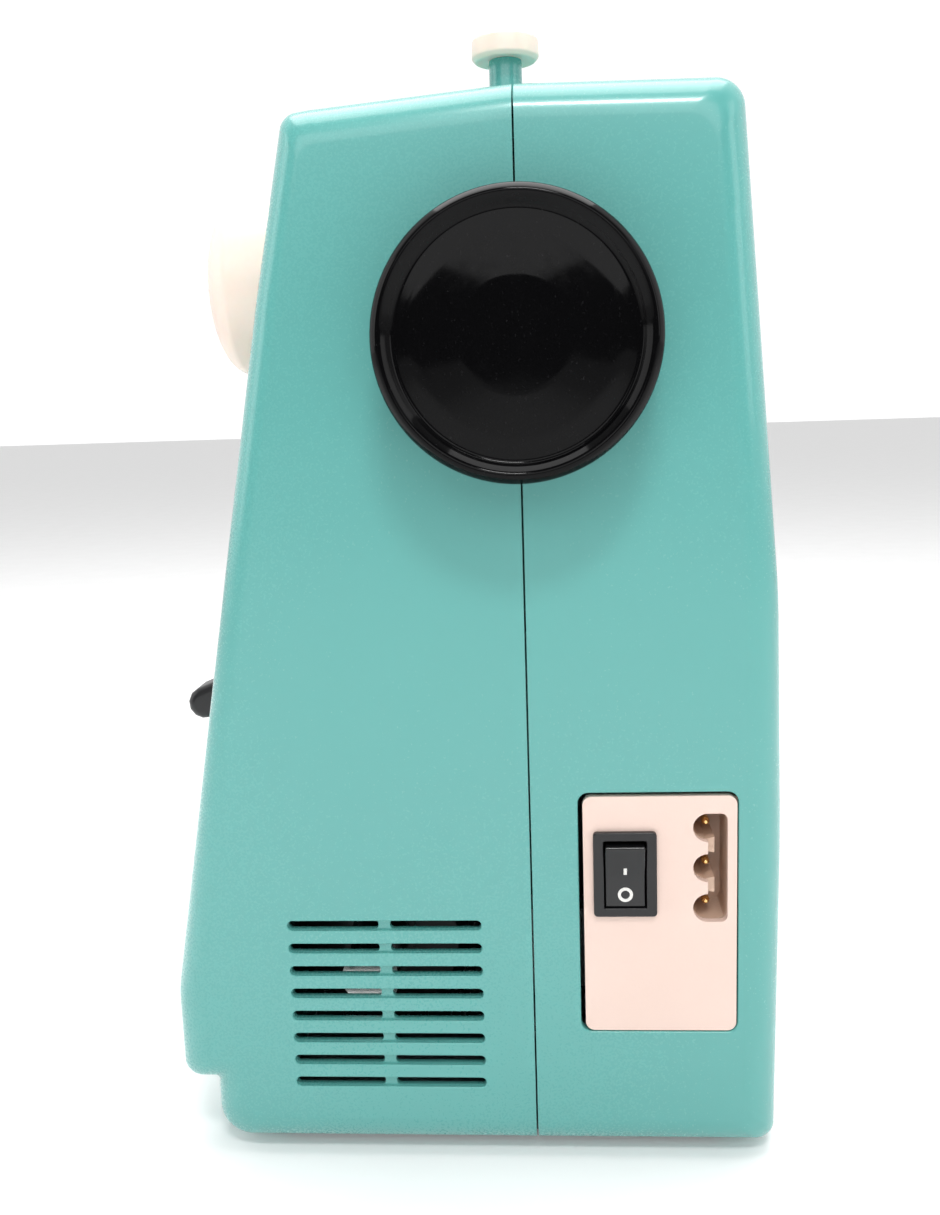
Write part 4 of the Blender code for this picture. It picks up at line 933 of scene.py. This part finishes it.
def makeSocketPlate():
    low, high = nodeBox('socket_plate')
    edges = box(low.y, high.y, low.z, high.z, panel['corner'])
    piece = newPiece('socketPlatePanel', prism('x', edges, low.x, high.x, 10), 'cream')
    switchLow, switchHigh = nodeBox('switch_body')
    lap = panel['overlap']  # the switch's frame covers the hole's edge
    carve(piece, prism('x', box(switchLow.y + lap, switchHigh.y - lap, switchLow.z + lap, switchHigh.z - lap),
                       low.x - 2, high.x + 2))
    reach = panel['pitch'] + panel['lobe']
    for index in (-1, 0, 1):
        z = panel['middleZ'] + index * panel['pitch']
        carve(piece, turned('x', panel['lobeY'], z, [(0, low.x - 2), (panel['lobe'], low.x - 2),
                                                     (panel['lobe'], high.x + 2), (0, high.x + 2)], 56))
    middle = panel['middleZ']
    carve(piece, prism('x', [(panel['lobeY'], middle - reach, 0), (panel['wallY'], middle - reach, 1.6),
                             (panel['wallY'], middle + reach, 1.6), (panel['lobeY'], middle + reach, 0)],
                       low.x - 1, high.x + 1, 8))
    roundFrontEdges(piece, high.x, panel['edge'])
    softenNormals(piece, 40)
    settle(piece, 'casing', ['socket_plate'])


def makePins():
    for index in (1, 2, 3):
        node = 'inlet_pin_%d' % index
        low, high = nodeBox(node)
        middle = (low + high) / 2
        radius = (high.y - low.y) / 2
        profile = smoothProfile([(0, low.x), (radius, low.x, 0.2), (radius, high.x - 0.9, 0.8),
                                 (radius * 0.45, high.x, 0.35), (0, high.x)], 0.3, 5)
        piece = newPiece('pin%d' % index, turned('x', middle.y, middle.z, profile, 32), 'brass', 50)
        settle(piece, 'casing', [node])


def makeSwitch():
    low, high = nodeBox('switch_body')
    outline = box(low.y, high.y, low.z, high.z, 0.9)
    piece = newPiece('switchFrame', prism('x', outline, low.x, high.x, 6), 'blackSatin')
    _, y, z = switch['pivot']
    wide = switch['halfWidth'] + switch['clearWide']
    tall = switch['halfHeight'] + switch['clearTall']
    carve(piece, prism('x', box(y - wide, y + wide, z - tall, z + tall, 0.3), low.x + 2, high.x + 2, 3))
    roundFrontEdges(piece, high.x, 0.35, 3)
    softenNormals(piece, 40)
    settle(piece, 'casing', ['switch_body'])


# from the rocker's own space, centred on its pin, to where it rests
def rockerSpace():
    turn = Matrix.Rotation(math.radians(switch['tilt']), 4, 'Y')
    return Matrix.Translation(switch['pivot']) @ turn


def makeRocker():
    half = switch['halfHeight']
    wide = switch['halfWidth']
    crown = switch['crown']
    dish = switch['dish']
    slope = math.atan2(dish, half)
    corners = [(-2.6, -half + 1, 0.5), (-2.6, half - 1, 0.5), (crown - 1.2, half, 0), (crown, half, 0.7),
               (crown - dish, 0, 14), (crown, -half, 0.7), (crown - 1.2, -half, 0)]
    bm = prism('y', corners, -wide, wide, 8)
    sides = [edge for edge in bm.edges if all(abs(abs(vert.co.y) - wide) < 0.001 for vert in edge.verts)
             and edge.calc_face_angle(0) > math.radians(50)
             and len({round(vert.co.y, 2) for vert in edge.verts}) == 1]
    bmesh.ops.bevel(bm, geom=sides, offset=0.3, offset_type='OFFSET', segments=3, profile=0.5, affect='EDGES',
                    material=-1, clamp_overlap=True)
    bmesh.ops.transform(bm, matrix=rockerSpace(), verts=bm.verts)
    piece = newPiece('rockerCap', bm, 'blackGloss', 40)
    softenNormals(piece, 40)
    settle(piece, 'switch_rocker', ['switch_rocker'])
    proud = marks['proud']
    sunk = -marks['depth']
    inner, outer = marks['ringInner'], marks['ringOuter']
    bar = prism('x', box(-marks['barWide'], marks['barWide'], -marks['barTall'], marks['barTall'], 0.1),
                sunk, proud, 3)
    ring = turned('x', 0, 0, [(inner, sunk), (outer, sunk), (outer, proud), (inner, proud), (inner, sunk)], 40)
    for name, mark, height, lean in (('markOn', bar, marks['barHeight'], 1),
                                     ('markOff', ring, marks['ringHeight'], -1)):
        lift = crown - dish + abs(height) * math.tan(slope) + marks['lift']
        spot = Matrix.Translation((lift, 0, height)) @ Matrix.Rotation(lean * slope, 4, 'Y')
        bmesh.ops.transform(mark, matrix=rockerSpace() @ spot, verts=mark.verts)
        settle(newPiece(name, mark, 'print', 40), 'switch_rocker')


makeSocketPlate()
makePins()
makeSwitch()
makeRocker()
print('socket panel made')


slotFinish = {'case_teal': 'teal', 'panel_cream': 'cream', 'knob_white': 'white', 'trim_black': 'black',
              'base_grey': 'grey', 'cast_metal': 'cast', 'steel': 'steel', 'bronze': 'bronze',
              'pin_brass': 'brass', 'rubber': 'rubber', 'clear': 'clear'}
nodeFinish = {'motor': 'blackSatin', 'bobbin': 'clear', 'hook_gear': 'cast', 'lower_gear': 'cast'}


def dressNodes():
    for name, node in frame['nodes'].items():
        finish = finishes[nodeFinish.get(name, slotFinish[nodeSlots[name]])]
        for slot in node.material_slots:
            slot.material = finish
        if not node.material_slots:
            node.data.materials.append(finish)


dressNodes()
makeStudio()
makeCamera()
print('scene ready')
